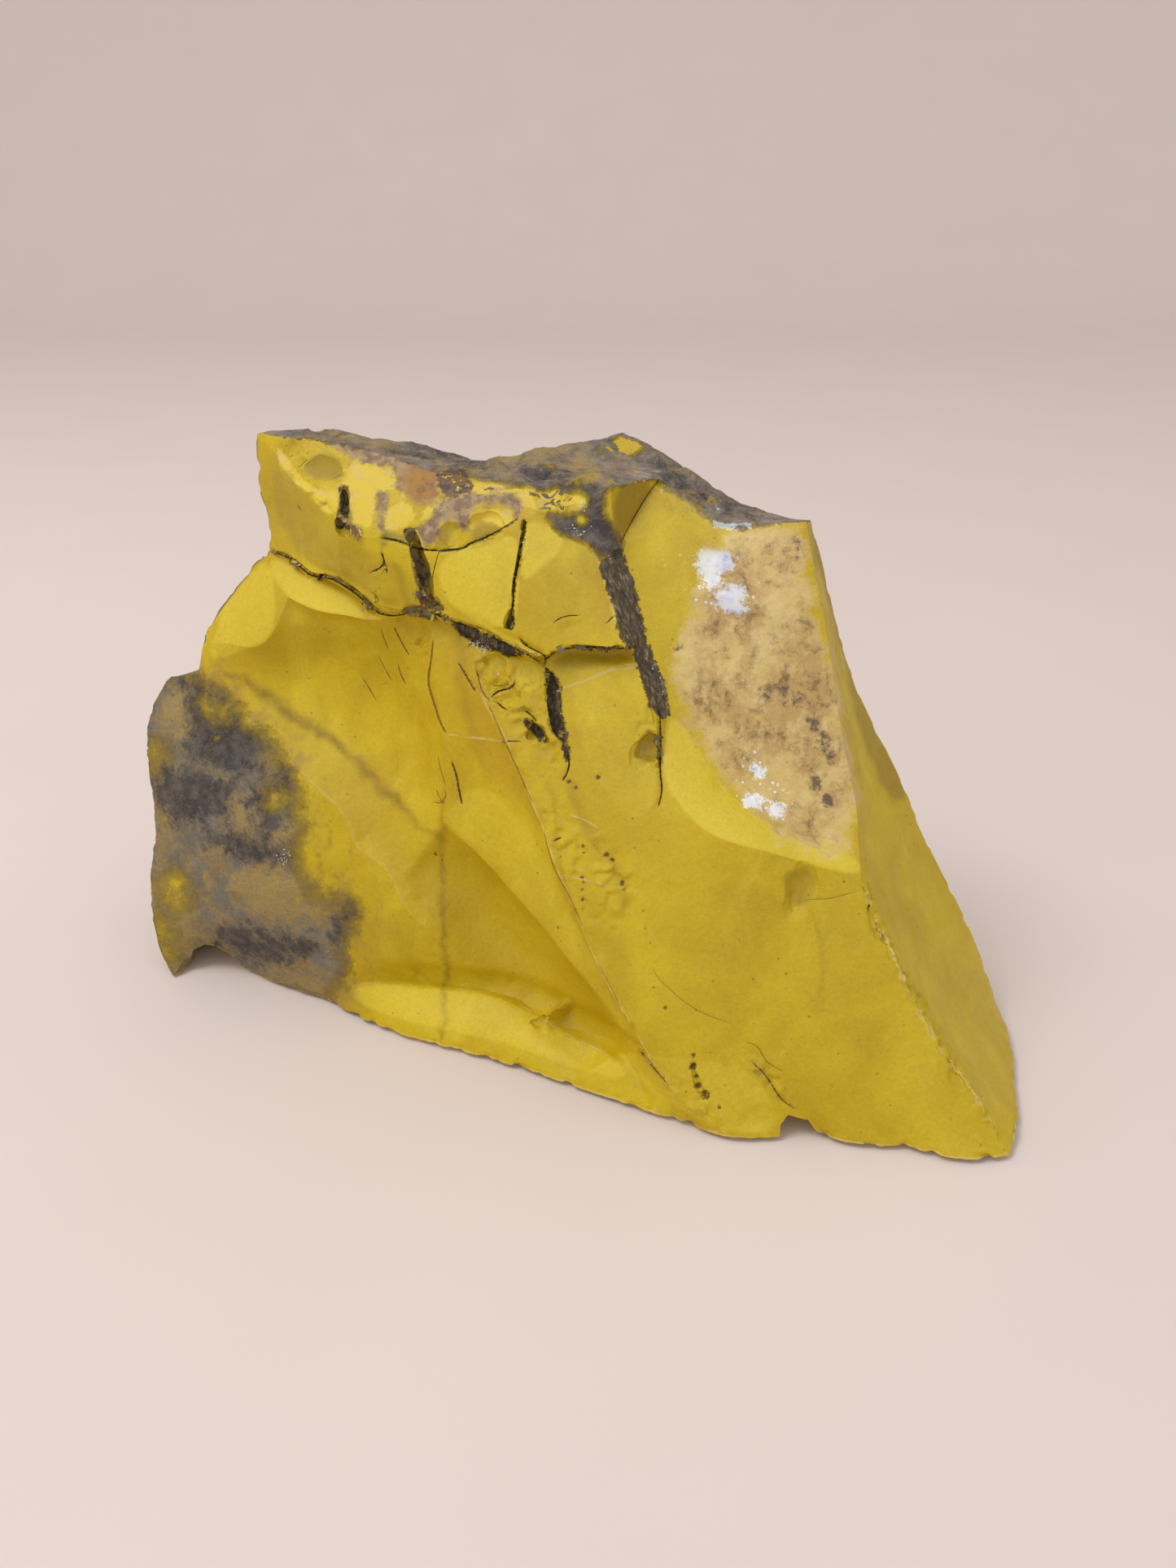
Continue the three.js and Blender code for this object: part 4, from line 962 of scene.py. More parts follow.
CHIPS = [
    Patch([(778, 932), (784, 912), (797, 898), (811, 905), (812, 930), (800, 936), (788, 933)], 0.9, 0.4,
        ripples=1.0),
    Patch([(793, 864), (807, 866), (811, 888), (803, 898), (794, 886)], 0.45, 0.4),
    Patch([(962, 1073), (978, 1070), (994, 1059), (1005, 1072), (1005, 1095), (994, 1122), (980, 1134),
        (959, 1134), (964, 1101)], 0.5, 1.5, ripples=1.0),
    Patch([(590, 806), (606, 802), (626, 812), (612, 826), (598, 824)], 0.4, 0.5),
    Patch([(596, 838), (612, 830), (630, 838), (616, 852), (602, 862)], 0.45, 0.5),
    Patch([(631, 815), (650, 811), (664, 820), (666, 840), (650, 852), (635, 845), (630, 830)], 0.4, 0.35),
    Patch([(682, 770), (690, 757), (713, 757), (719, 765), (712, 779), (690, 786)], 0.35, 1.6, ripples=1.0),
    Patch([(484, 762), (497, 770), (508, 800), (528, 788), (531, 774), (515, 762), (498, 757)], 0.5, 0.35),
    Patch([(1064, 1110), (1076, 1112), (1090, 1146), (1096, 1162), (1078, 1158), (1068, 1138)], 0.7, 0.35,
        ripples=0.5),
    Patch([(1163, 1316), (1176, 1312), (1190, 1332), (1186, 1342), (1168, 1334)], 0.5, 0.35),
    Patch([(915, 1360), (940, 1352), (960, 1368), (952, 1392), (920, 1396), (900, 1385)], 0.35, 1.5),
]

MARKS: dict[Mark, list[Trace | Patch]] = {
    Mark.CRACK: CRACKS, Mark.SCRATCH: IRON_SCRATCHES, Mark.VEIN: SMOKY_VEINS, Mark.GREY: GREY_FILMS,
    Mark.HAIR: HEALED_HAIRLINES, Mark.RIDGE: CRISP_RIDGES, Mark.RUGGED: WORN_RIDGES, Mark.CRUST: CRUST_AREAS,
    Mark.WINDOW: CRUST_WINDOWS, Mark.BLOT: BLACK_BLOTS, Mark.TAN: TAN_BLOTS, Mark.FIBRE: SEAM_WALLS,
    Mark.HOLE: CRACK_HOLLOWS, Mark.RUST: RUST_SPOTS, Mark.CHALK: CHALKY_FILMS,
    Mark.CHALCEDONY: CHALCEDONY_BANDS, Mark.ORANGE: ORANGE_TINTS, Mark.PATINA: PATINA_AREAS,
    Mark.SMOKE: PATINA_STAINS, Mark.SPARKLE: QUARTZ_BEDS, Mark.GLOSS: WET_SPOTS, Mark.PAINTED_LIGHT: PAINTED_LIGHT_FACETS,
    Mark.PAINTED_SHADE: PAINTED_SHADE_FACETS, Mark.OLIVE_AND_SHADE: OLIVE_AND_SHADED_FACETS, Mark.SOFT: SOFT_FOLDS, Mark.SHATTER: SHATTERED_PATCHES,
    Mark.CHIP: CHIPS,
}

# the hollows: the side that falls away, its depth and its rim in mm
DROPS = [
    # the bowl under the long crease
    Drop(LONG_CREASE, 1, 2.9, 5.5),
    # behind the ledge's lip
    Drop(LEDGE_LIP, -1, 1.3, 1.8),
    # under the bevels and the overhanging cracks
    Drop([(338, 725), (354, 734), (377, 746), (405, 754), (430, 756), (452, 764)], 1, 0.5, 1.4),
    Drop([(668, 816), (680, 802), (692, 797), (723, 795), (750, 798), (772, 796), (783, 795)], 1, 1.0, 1.1),
    Drop([(333, 677), (355, 685), (384, 709), (422, 719), (441, 732), (457, 748), (490, 757)], -1, 0.45,
        1.0),
    Drop([(530, 752), (565, 766), (586, 774), (620, 790), (642, 802), (668, 816)], -1, 0.4, 0.9),
    # along the spur
    Drop([*SPUR, (790, 1290), (850, 1375)], 1, 0.7, 1.6),
]

# dark pits and specks: pixel across and down, radius and depth in mm
SPOTS = [
    (716, 1040, 0.3, 0.2), (717, 1049, 0.2, 0.1), (716, 1077, 0.32, 0.2), (717, 1085, 0.26, 0.2),
    (716, 1094, 0.22, 0.1), (717, 1105, 0.28, 0.2), (718, 1117, 0.22, 0.1), (695, 1046, 0.2, 0.1),
    (688, 1053, 0.2, 0.1), (851, 1298, 0.35, 0.3), (852, 1310, 0.6, 0.6), (856, 1322, 0.3, 0.3),
    (857, 1335, 0.55, 0.6), (867, 1346, 0.75, 0.9), (884, 1360, 0.35, 0.3), (735, 955, 0.4, 0.4),
    (804, 1214, 0.22, 0.1), (818, 1240, 0.25, 0.1), (746, 1050, 0.4, 0.4), (752, 1058, 0.35, 0.4),
    (764, 1086, 0.4, 0.3), (768, 1094, 0.3, 0.3), (660, 1072, 0.2, 0.1), (699, 962, 0.3, 0.3),
    (1036, 1082, 0.25, 0.1), (535, 1048, 0.25, 0.1), (543, 1056, 0.2, 0.1), (686, 1140, 0.25, 0.2),
    (693, 958, 0.3, 0.3), (708, 970, 0.25, 0.2), (617, 912, 0.2, 0.2), (505, 1125, 0.2, 0.1),
]

# ---- The skin ----


# more than any skin has points
PAIRING = 10_000_000


def joined(low: np.ndarray, high: np.ndarray) -> np.ndarray:
    """Packs pairs of point numbers into single numbers, whichever way round they are."""
    return np.minimum(low, high) * PAIRING + np.maximum(low, high)


@dataclass
class FineSkin:
    """A closed skin of triangles that is refined, smoothed and worked point by point."""

    points: np.ndarray
    triangles: np.ndarray
    creases: np.ndarray
    longest_edge: float = 1.4
    soft_give: float = 0.6
    push_back: float = 1.04
    ridge_give: float = 0.8
    ground: float = 0.002

    @classmethod
    def over(cls, node: bpy.types.Object) -> "FineSkin":
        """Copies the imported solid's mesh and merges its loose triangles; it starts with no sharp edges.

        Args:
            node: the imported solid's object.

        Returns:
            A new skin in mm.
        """
        work = bmesh.new()
        work.from_mesh(node.data)
        bmesh.ops.remove_doubles(work, verts=work.verts, dist=2e-6)
        bmesh.ops.triangulate(work, faces=work.faces)
        work.verts.ensure_lookup_table()
        points = np.array([corner.co for corner in work.verts]) / MM
        triangles = np.array([[corner.index for corner in face.verts] for face in work.faces])
        work.free()
        return cls(points, triangles, np.zeros((0, 2), int))

    def face_normals(self) -> tuple[np.ndarray, np.ndarray]:
        """Gives each triangle's unit normal and its area.

        Returns:
            The normals, one per row, and the areas in square mm.
        """
        a, b, c = (self.points[self.triangles[:, k]] for k in range(3))
        cross = np.cross(b - a, c - a)
        length = np.linalg.norm(cross, axis=1)
        return cross / np.maximum(length, 1e-12)[:, None], length / 2

    def normals(self) -> np.ndarray:
        """Gives each point's normal, the average of the triangles around it.

        Returns:
            The normals, one per row.
        """
        normal, area = self.face_normals()
        total = np.zeros_like(self.points)
        for k in range(3):
            for axis in range(3):
                total[:, axis] += np.bincount(
                    self.triangles[:, k], normal[:, axis] * area, minlength=len(self.points)
                )
        return total / np.maximum(np.linalg.norm(total, axis=1, keepdims=True), 1e-12)

    def edges(self) -> tuple[np.ndarray, np.ndarray]:
        """Gives every edge once, and each triangle's three edges by number.

        Returns:
            The edges' ends, one edge per row, and the edges' numbers, one triangle per row.
        """
        starts = self.triangles[:, [0, 1, 2]].T.ravel()
        ends = self.triangles[:, [1, 2, 0]].T.ravel()
        keys, place = np.unique(joined(starts, ends), return_inverse=True)
        pairs = np.stack([keys // PAIRING, keys % PAIRING], axis=1)
        return pairs, place.reshape(3, -1).T

    def find_creases(self, sharp: np.ndarray, least: float) -> None:
        """Marks the edges whose two triangles meet at an angle.

        Args:
            sharp: for each point, the angle in degrees from which an edge there counts as sharp.
            least: the angle in degrees below which no edge counts.
        """
        normal, _ = self.face_normals()
        pairs, of_triangle = self.edges()
        order = np.argsort(of_triangle.ravel(), kind="stable")
        sides = (order // 3).reshape(-1, 2)
        cosine = np.clip((normal[sides[:, 0]] * normal[sides[:, 1]]).sum(axis=1), -1, 1)
        angle = np.degrees(np.arccos(cosine))
        limit = np.minimum(sharp[pairs[:, 0]], sharp[pairs[:, 1]])
        self.creases = pairs[(angle > limit) & (angle > least)]

    def refine(self, target: np.ndarray, *carried: np.ndarray) -> list[np.ndarray]:
        """Splits each edge that is longer than its target, and the triangles beside it, once.

        Args:
            target: the wanted edge length in mm at each point.
            carried: values at the points, which new points take from their edge's ends.

        Returns:
            The target and the carried values with the new points added; an empty list if
            nothing was left to split.
        """
        pairs, of_triangle = self.edges()
        length = np.linalg.norm(self.points[pairs[:, 0]] - self.points[pairs[:, 1]], axis=1)
        split = length > self.longest_edge * (target[pairs[:, 0]] + target[pairs[:, 1]]) / 2
        if not split.any():
            return []
        rows = np.arange(len(self.triangles))
        longest = of_triangle[rows, np.argmax(length[of_triangle], axis=1)]
        while True:
            needed = split[of_triangle].any(axis=1) & ~split[longest]
            if not needed.any():
                break
            split[longest[needed]] = True
        middle = np.full(len(pairs), -1)
        middle[split] = len(self.points) + np.arange(split.sum())
        ends = pairs[split]
        self.points = np.concatenate([self.points, self.points[ends].mean(axis=1)])
        self._split_creases(pairs, middle)
        self._split_triangles(of_triangle, middle)
        return [np.concatenate([value, value[ends].mean(axis=1)]) for value in (target, *carried)]

    def _split_creases(self, pairs: np.ndarray, middle: np.ndarray) -> None:
        """Splits the marked sharp edges at their new middle points.

        Args:
            pairs: every edge's ends.
            middle: each edge's new middle point, or -1.
        """
        if len(self.creases) == 0:
            return
        keys = joined(pairs[:, 0], pairs[:, 1])
        found = np.searchsorted(keys, joined(self.creases[:, 0], self.creases[:, 1]))
        centre = middle[found]
        cut = centre >= 0
        first = np.stack([self.creases[cut, 0], centre[cut]], axis=1)
        second = np.stack([centre[cut], self.creases[cut, 1]], axis=1)
        self.creases = np.concatenate([self.creases[~cut], first, second])

    def _split_triangles(self, of_triangle: np.ndarray, middle: np.ndarray) -> None:
        """Replaces each triangle that has split edges by two, three or four.

        Args:
            of_triangle: each triangle's three edges.
            middle: each edge's new middle point, or -1.
        """
        mids = middle[of_triangle]
        count = (mids >= 0).sum(axis=1)

        def turned(chosen: np.ndarray, first: np.ndarray) -> np.ndarray:
            """Turns some triangles so that each starts at its given side.

            Args:
                chosen: the triangles' numbers.
                first: the side that each starts at.

            Returns:
                For each, its corners in columns 0 to 2 and its new middle points in columns 3 to 5.
            """
            order = (first[:, None] + [0, 1, 2]) % 3
            rows = chosen[:, None]
            return np.concatenate([self.triangles[rows, order], mids[rows, order]], axis=1)

        one = np.flatnonzero(count == 1)
        halved = turned(one, np.argmax(mids[one] >= 0, axis=1))
        two = np.flatnonzero(count == 2)
        cut = turned(two, (np.argmin(mids[two], axis=1) + 1) % 3)
        to_far = np.linalg.norm(self.points[cut[:, 0]] - self.points[cut[:, 4]], axis=1)
        to_near = np.linalg.norm(self.points[cut[:, 3]] - self.points[cut[:, 2]], axis=1)
        far = (to_far < to_near)[:, None]
        three = np.flatnonzero(count == 3)
        quartered = turned(three, np.zeros(len(three), int))
        self.triangles = np.concatenate([
            self.triangles[count == 0],
            *(halved[:, pick] for pick in ([0, 3, 2], [3, 1, 2])),
            cut[:, [3, 1, 4]],
            np.where(far, cut[:, [0, 3, 4]], cut[:, [0, 3, 2]]),
            np.where(far, cut[:, [0, 4, 2]], cut[:, [3, 4, 2]]),
            *(quartered[:, pick] for pick in ([0, 3, 5], [3, 1, 4], [5, 4, 2], [3, 4, 5])),
        ])

    def soften(self, share: np.ndarray, passes: int) -> None:
        """Melts away low bends where the share is above zero; sharp edges stay.

        Args:
            share: how much each point gives way, from 0 to 1.
            passes: how many times the points move to the middle of their neighbours.
        """
        pairs, _ = self.edges()
        share = share.copy()
        share[self.creases.ravel()] = 0.0
        for _ in range(passes):
            goal = self._mean_of(pairs)
            self.points += (goal - self.points) * share[:, None] * self.soft_give

    def settle(self, passes: int, ridge_passes: int = 2, pull: float = 0.5) -> None:
        """Evens the skin out without shrinking it; sharp edges only move along themselves.

        Each pass draws points to the middle of their neighbours and then lets them back a little
        further, which keeps the broad form and takes away only the small facets.

        Args:
            passes: how many times the smooth faces are evened.
            ridge_passes: how many of those passes also even the sharp edges.
            pull: the share of the way that a point moves each time.
        """
        pairs, _ = self.edges()
        on_crease = np.bincount(self.creases.ravel(), minlength=len(self.points))
        grounded = self.points[:, 2] < self.ground
        for turn in range(passes):
            free = on_crease == 0
            ridge = (on_crease == 2) & (turn < ridge_passes)
            for step in (pull, -pull * self.push_back):
                goal = self._mean_of(pairs)
                if ridge.any():
                    goal = np.where(ridge[:, None], self._mean_of(self.creases), goal)
                share = np.where(free, step, np.where(ridge, step * self.ridge_give, 0.0))[:, None]
                self.points = self.points + (goal - self.points) * share
            self.points[grounded, 2] = 0.0
        self.points[:, 2] = np.maximum(self.points[:, 2], 0.0)

    def _mean_of(self, links: np.ndarray) -> np.ndarray:
        """Gives the mean place of the points that each point is linked to."""
        degree = np.maximum(np.bincount(links.ravel(), minlength=len(self.points)), 1)
        return self._totals(links, self.points) / degree[:, None]

    def _totals(self, links: np.ndarray, values: np.ndarray) -> np.ndarray:
        """Adds up the rows of the points that each point is linked to.

        Args:
            links: pairs of linked points.
            values: one row for each point.

        Returns:
            The sums, one row for each point.
        """
        start = np.concatenate([links[:, 0], links[:, 1]])
        end = np.concatenate([links[:, 1], links[:, 0]])
        columns = [np.bincount(start, column[end], minlength=len(values)) for column in values.T]
        return np.stack(columns, axis=1)

    def steady(self, normals: np.ndarray, passes: int = 24) -> np.ndarray:
        """Evens the normals out over a few millimetres, so that a broad hollow never folds.

        Args:
            normals: the points' normals.
            passes: how many times each takes in its neighbours.

        Returns:
            The evened normals.
        """
        pairs, _ = self.edges()
        mean = normals
        for _ in range(passes):
            mean = self._totals(pairs, mean) + mean
            mean /= np.maximum(np.linalg.norm(mean, axis=1, keepdims=True), 1e-9)
        return mean

    def from_creases(self, most: float) -> np.ndarray:
        """Gives each point's way along the skin to the nearest sharp edge, in mm, up to most."""
        return self.away_from(self.creases.ravel(), most)

    def away_from(self, seeds: np.ndarray, most: float) -> np.ndarray:
        """Gives each point's way along the skin to the nearest of some points.

        Args:
            seeds: the numbers of the points that the way leads to.
            most: the longest way that is measured, in mm.

        Returns:
            One length for each point, in mm.
        """
        pairs, _ = self.edges()
        length = np.linalg.norm(self.points[pairs[:, 0]] - self.points[pairs[:, 1]], axis=1)
        far = np.full(len(self.points), most)
        far[seeds] = 0.0
        for _ in range(12):
            before = far.copy()
            np.minimum.at(far, pairs[:, 0], before[pairs[:, 1]] + length)
            np.minimum.at(far, pairs[:, 1], before[pairs[:, 0]] + length)
            if np.allclose(before, far):
                break
        return far

    def to_object(self, name: str, fields: dict[str, np.ndarray]) -> bpy.types.Object:
        """Makes the skin a Blender object in metres, with its fields as point attributes.

        Args:
            name: the object's name.
            fields: values for each point, by attribute name.

        Returns:
            The new object, at the origin.
        """
        mesh = bpy.data.meshes.new(name)
        mesh.from_pydata((self.points * MM).tolist(), [], self.triangles.tolist())
        mesh.polygons.foreach_set("use_smooth", [True] * len(mesh.polygons))
        ends = np.zeros(len(mesh.edges) * 2, np.int64)
        mesh.edges.foreach_get("vertices", ends)
        ends = ends.reshape(-1, 2)
        wanted = joined(self.creases[:, 0], self.creases[:, 1])
        sharp = np.isin(joined(ends[:, 0], ends[:, 1]), wanted)
        mesh.attributes.new("sharp_edge", "BOOLEAN", "EDGE").data.foreach_set("value", sharp)
        for key, value in fields.items():
            mesh.attributes.new(key, "FLOAT", "POINT").data.foreach_set("value", value.astype(np.float32))
        mesh.update()
        piece = bpy.data.objects.new(name, mesh)
        bpy.context.scene.collection.objects.link(piece)
        return piece


@dataclass(frozen=True)
class Look:
    """The skin's points as the sight sees them, one value or row a point."""

    points: np.ndarray
    normals: np.ndarray
    pixels: np.ndarray
    scale: np.ndarray
    facing: np.ndarray
    seen: np.ndarray


@dataclass
class Stone:
    """The lump itself: its fine skin, the relief worked into it, and where each colour lies."""

    sight: Sight
    marks: FrontMarks
    coarse_grains: tuple[float, float] = (3.0, 1.5)
    coarse_passes: tuple[int, int] = (6, 22)
    soft_passes: int = 30
    fine_passes: int = 12
    ridge_passes: int = 3
    front_grain: float = 0.84
    rear_grain: float = 1.3
    fine_grain: float = 0.38
    least_groove: float = 0.2
    least_facing: float = 0.03
    crown_floor: float = 82.0
    crown_level: float = 0.6
    crown_facing: float = 0.45
    crown_crust: float = 3.5
    bare_crown_from: float = 945.0
    crease: float = 22.0
    crust_crease: float = 36.0
    soft_crease: float = 75.0
    crisp_crease: float = 6.0
    lump_size: float = 6.0
    lump_height: float = 0.55
    grit_size: float = 1.3
    grit_height: float = 0.16
    chip_size: float = 3.1
    chip_height: float = 0.9
    facet_points: int = 22
    inset: float = 0.01
    swell_size: float = 26.0
    swell_height: float = 2.4
    scars: int = 70
    scar_radius: tuple[float, float] = (4.0, 17.0)
    scar_squash: tuple[float, float] = (0.55, 0.95)
    scar_depth: float = 0.12
    scar_seed: int = 5
    lobe_end: float = -66.0
    lobe_top: float = 62.0
    rear_crust_along: tuple[float, ...] = (-80, -66, -18, 35, 60)
    rear_crust_height: tuple[float, ...] = (44, 48, 57, 50, 52)
    noise: RockNoise = field(default_factory=lambda: RockNoise(23))

    def build(self, node: bpy.types.Object) -> bpy.types.Object:
        """Makes the stone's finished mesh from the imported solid.

        Args:
            node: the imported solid's object.

        Returns:
            The stone, with its colour fields as attributes.
        """
        skin = FineSkin.over(node)
        self._mark_creases(skin)
        self._refine(skin)
        self._align(skin)
        self._work_relief(skin)
        return skin.to_object("mookaite_skin", self._colour_fields(skin))

    def _look(self, skin: FineSkin) -> Look:
        """Looks at the skin from the sight.

        Args:
            skin: the skin to look at.

        Returns:
            Its points, normals and pixels, and which points are seen.
        """
        normals = skin.normals()
        pixels = self.sight.pixels(skin.points)
        scale = self.sight.pixels_per_mm(skin.points)
        facing = self.sight.facing(skin.points, normals)
        return Look(skin.points, normals, pixels, scale, facing, facing > self.least_facing)

    def _crown(self, look: Look) -> np.ndarray:
        """Tells which points lie on the crown, which the sight sees only at a glance."""
        level = (look.points[:, 2] > self.crown_floor) & (look.normals[:, 2] > self.crown_level)
        return level & (look.facing < self.crown_facing)

    def _mark_creases(self, skin: FineSkin) -> None:
        """Finds the ridges; low ones count as sharp only where the marks say so.

        Args:
            skin: the skin that is worked on.
        """
        look = self._look(skin)
        sharp = np.where(self._crust(look) > 0, self.crust_crease, self.crease)
        for kind, angle in ((Mark.SOFT, self.soft_crease), (Mark.RIDGE, self.crisp_crease)):
            sharp[(self.marks.reach(kind, look.pixels, look.scale) > 0) & look.seen] = angle
        skin.find_creases(sharp, self.crisp_crease)

    def _refine(self, skin: FineSkin) -> None:
        """Refines the skin: coarse at the rear, fine on the front, finest along the marks.

        Args:
            skin: the skin that is worked on.
        """
        for grain, passes in zip(self.coarse_grains, self.coarse_passes):
            while skin.refine(np.full(len(skin.points), grain)):
                pass
            skin.settle(passes)
        look = self._look(skin)
        soft = soft_step(0.0, 1.5, self.marks.reach(Mark.SOFT, look.pixels, look.scale))
        skin.soften(soft * look.seen, self.soft_passes)
        close = np.where(look.seen, self.marks.closeness(look.pixels, look.scale), FAR)
        close = np.minimum(close, skin.from_creases(3.0) + np.where(look.seen, 0.5, 1.1))
        grain = np.where(look.seen, self.front_grain, self.rear_grain)
        target = self.fine_grain + (grain - self.fine_grain) * soft_step(0.5, 2.2, close)
        while grown := skin.refine(target):
            target = grown[0]
        skin.settle(self.fine_passes, self.ridge_passes)

    def _align(self, skin: FineSkin) -> None:
        """Slides the points beside each crack onto it, so that its groove runs clean.

        Args:
            skin: the skin that is worked on.
        """
        look = self._look(skin)
        way = skin.points - np.array(self.sight.place)
        way /= np.linalg.norm(way, axis=1, keepdims=True)
        free = look.seen & (skin.from_creases(1.0) > 0)
        right = np.array([1.0, 0.0, 0.0])
        up = np.array([0.0, math.sin(self.sight.pitch), math.cos(self.sight.pitch)])
        moved = np.zeros(len(skin.points), bool)
        for trace in [*self.marks.by_kind[Mark.CRACK], *self.marks.by_kind[Mark.SCRATCH]]:
            if trace.depth < self.least_groove:
                continue
            near, away, _, _ = trace.nearby(look.pixels)
            chosen = np.flatnonzero(near)
            gap = np.linalg.norm(away, axis=1) / look.scale[chosen]
            close = (gap < self.fine_grain * 0.55) & free[chosen] & ~moved[chosen]
            chosen, away = chosen[close], away[close] / look.scale[chosen[close], None]
            slide = -away[:, :1] * right + away[:, 1:] * up
            normal = look.normals[chosen]
            lift = (slide * normal).sum(axis=1) / (way[chosen] * normal).sum(axis=1)
            skin.points[chosen] += slide - way[chosen] * lift[:, None]
            moved[chosen] = True

    def _crust(self, look: Look) -> np.ndarray:
        """Gives how far inside the dark crust each point is, in mm; below zero it is fresh jasper.

        Args:
            look: the skin's points as the sight sees them.

        Returns:
            One value for each point, from -9 to 9.
        """
        points = look.points
        wander = self.noise.at(points, 16, 3)
        warped = look.pixels + 9 * self._warp(points, 5)
        front = self.marks.reach(Mark.CRUST, warped, look.scale)
        front = np.minimum(front, -self.marks.reach(Mark.WINDOW, warped, look.scale))
        knee = np.interp(points[:, 0], self.rear_crust_along, self.rear_crust_height)
        rear = np.minimum((points[:, 2] - knee) * 0.7 + 2, 4) + wander * 7
        rear += self.noise.at(points + 90, 38, 3) * 14
        lobe = (self.lobe_end - points[:, 0]) + wander * 8
        rear = np.where(points[:, 2] < self.lobe_top, np.maximum(rear, lobe), rear)
        rear = np.where(look.normals[:, 0] > 0.55, rear - 6, rear)
        bare = np.where(look.pixels[:, 0] > self.bare_crown_from, self.crown_crust, 0)
        crown = self.crown_crust + wander * 7 - bare
        hidden = np.where(self._crown(look), crown, rear)
        value = np.where(look.seen & ~self._crown(look), front, hidden)
        underside = look.normals[:, 2] < -0.7
        return np.clip(np.where(underside, -5 + wander * 6, value), -FAR, FAR)

    def _warp(self, points: np.ndarray, size: float) -> np.ndarray:
        """Gives a noisy offset across and down for each point, about -1 to 1."""
        return np.stack([self.noise.at(points, size, 2), self.noise.at(points + 40, size, 2)], axis=1)

    def _work_relief(self, skin: FineSkin) -> None:
        """Works hollows, chips, cracks, crust lumps and worn ridges into the skin.

        Args:
            skin: the skin that is worked on.
        """
        look = self._look(skin)
        points, pixels, scale, seen = look.points, look.pixels, look.scale, look.seen
        sink = self.marks.cuts(pixels, scale) * seen
        broad = self._shattered(look)
        for drop in self.marks.drops:
            broad += drop.sunk(pixels, scale)
        broad *= soft_step(0.0, 1.6, skin.away_from(np.flatnonzero(~seen), 3.0))
        rough = soft_step(-0.3, 1.2, self._crust(look))
        ridge = skin.from_creases(2.5)
        hidden = soft_step(0.0, 2.8, skin.away_from(np.flatnonzero(seen), 3.0)) * soft_step(0.0, 2.4, ridge)
        swell = self.noise.at(points + 60, self.swell_size, 3) * self.swell_height
        broad += hidden * (swell + self._scars(look) * (1 - 0.55 * rough))
        lumps = self.noise.at(points, self.lump_size, 4, 0.55) * self.lump_height
        grit = self.noise.at(points + 9, self.grit_size, 2) * self.grit_height
        fibre = np.where(seen, self.marks.reach(Mark.FIBRE, pixels, scale), -FAR)
        rough = np.maximum(rough, soft_step(-0.1, 0.3, fibre) * 0.6)
        sink -= rough * (lumps + grit)
        sink -= (1 - rough) * self.noise.at(points + 31, 14, 2) * 0.1
        rugged = np.where(seen, self.marks.wash(Mark.RUGGED, pixels, scale, 1.0), 0.4)
        base = soft_step(5, 1, points[:, 2]) * 0.4
        worn = np.clip(0.22 + rugged + base, 0, 1)
        bites = np.clip(self.noise.at(points + 70, self.chip_size, 2) * 1.3 + 0.08, 0, 1)
        sink += worn * bites * self.chip_height * soft_step(1.3, 0.1, ridge)
        grounded = points[:, 2] < 0.01
        moved = points - look.normals * sink[:, None] - skin.steady(look.normals) * broad[:, None]
        low, high = (np.array(corner) / MM for corner in CAD_BOX)
        moved = np.clip(moved, low + self.inset, high - self.inset)
        moved[grounded, 2] = 0.0
        skin.points = moved

    def _shattered(self, look: Look) -> np.ndarray:
        """Breaks the shattered patches up into small flat facets that tilt every way.

        Args:
            look: the skin's points as the sight sees them.

        Returns:
            How deep each point lies below the even skin, in mm.
        """
        draw = np.random.default_rng(self.scar_seed)
        deep = np.zeros(len(look.points))
        for patch in self.marks.by_kind[Mark.SHATTER]:
            inside = patch.reach(look.pixels, look.scale)
            here = np.flatnonzero(look.seen & (inside > 0))
            if len(here) < 8:
                continue
            seeds = draw.choice(here, max(4, len(here) // self.facet_points), replace=False)
            tilts = draw.normal(size=(len(seeds), 3)) * 0.5
            steps = draw.uniform(0, 1, len(seeds))
            offset = look.points[here][:, None] - look.points[seeds][None]
            gap = (offset**2).sum(axis=2) * (0.6 + draw.uniform(0, 1, len(seeds)))
            own = np.argmin(gap, axis=1)
            normals = look.normals[here]
            tilt = tilts[own] - normals * (tilts[own] * normals).sum(axis=1)[:, None]
            height = (offset[np.arange(len(here)), own] * tilt).sum(axis=1) + 0.6 * steps[own]
            deep[here] += patch.depth * height * soft_step(0, 0.7, inside[here])
        return deep

    def _scars(self, look: Look) -> np.ndarray:
        """Strikes shallow flake scars all over the sides that the sight doesn't see.

        Args:
            look: the skin's points as the sight sees them.

        Returns:
            How deep each point lies in the scars, in mm.
        """
        draw = np.random.default_rng(self.scar_seed)
        points = look.points
        hidden = np.flatnonzero(~look.seen & (points[:, 2] > 4) & ~self._crown(look))
        wander = self.noise.at(points + 12, 7, 2)
        deep = np.zeros(len(points))
        for centre in draw.choice(hidden, self.scars, replace=False):
            radius = draw.uniform(*self.scar_radius)
            squash = draw.uniform(*self.scar_squash)
            lean = draw.uniform(0, math.pi)
            normal = look.normals[centre]
            side = np.cross(normal, (math.cos(lean), 0.3, math.sin(lean)))
            side /= np.linalg.norm(side)
            offset = points - points[centre]
            along = offset @ side
            across = offset @ np.cross(normal, side)
            away = np.hypot(along, across / squash) / radius * (1 + 0.22 * wander)
            reach = (away < 1) & (look.normals @ normal > 0.45) & (np.abs(offset @ normal) < radius * 0.6)
            dish = radius * self.scar_depth * (1 - away**2) * (1 + 0.05 * np.sin(away * 26))
            deep = np.where(reach, np.maximum(deep, dish), deep)
        return deep

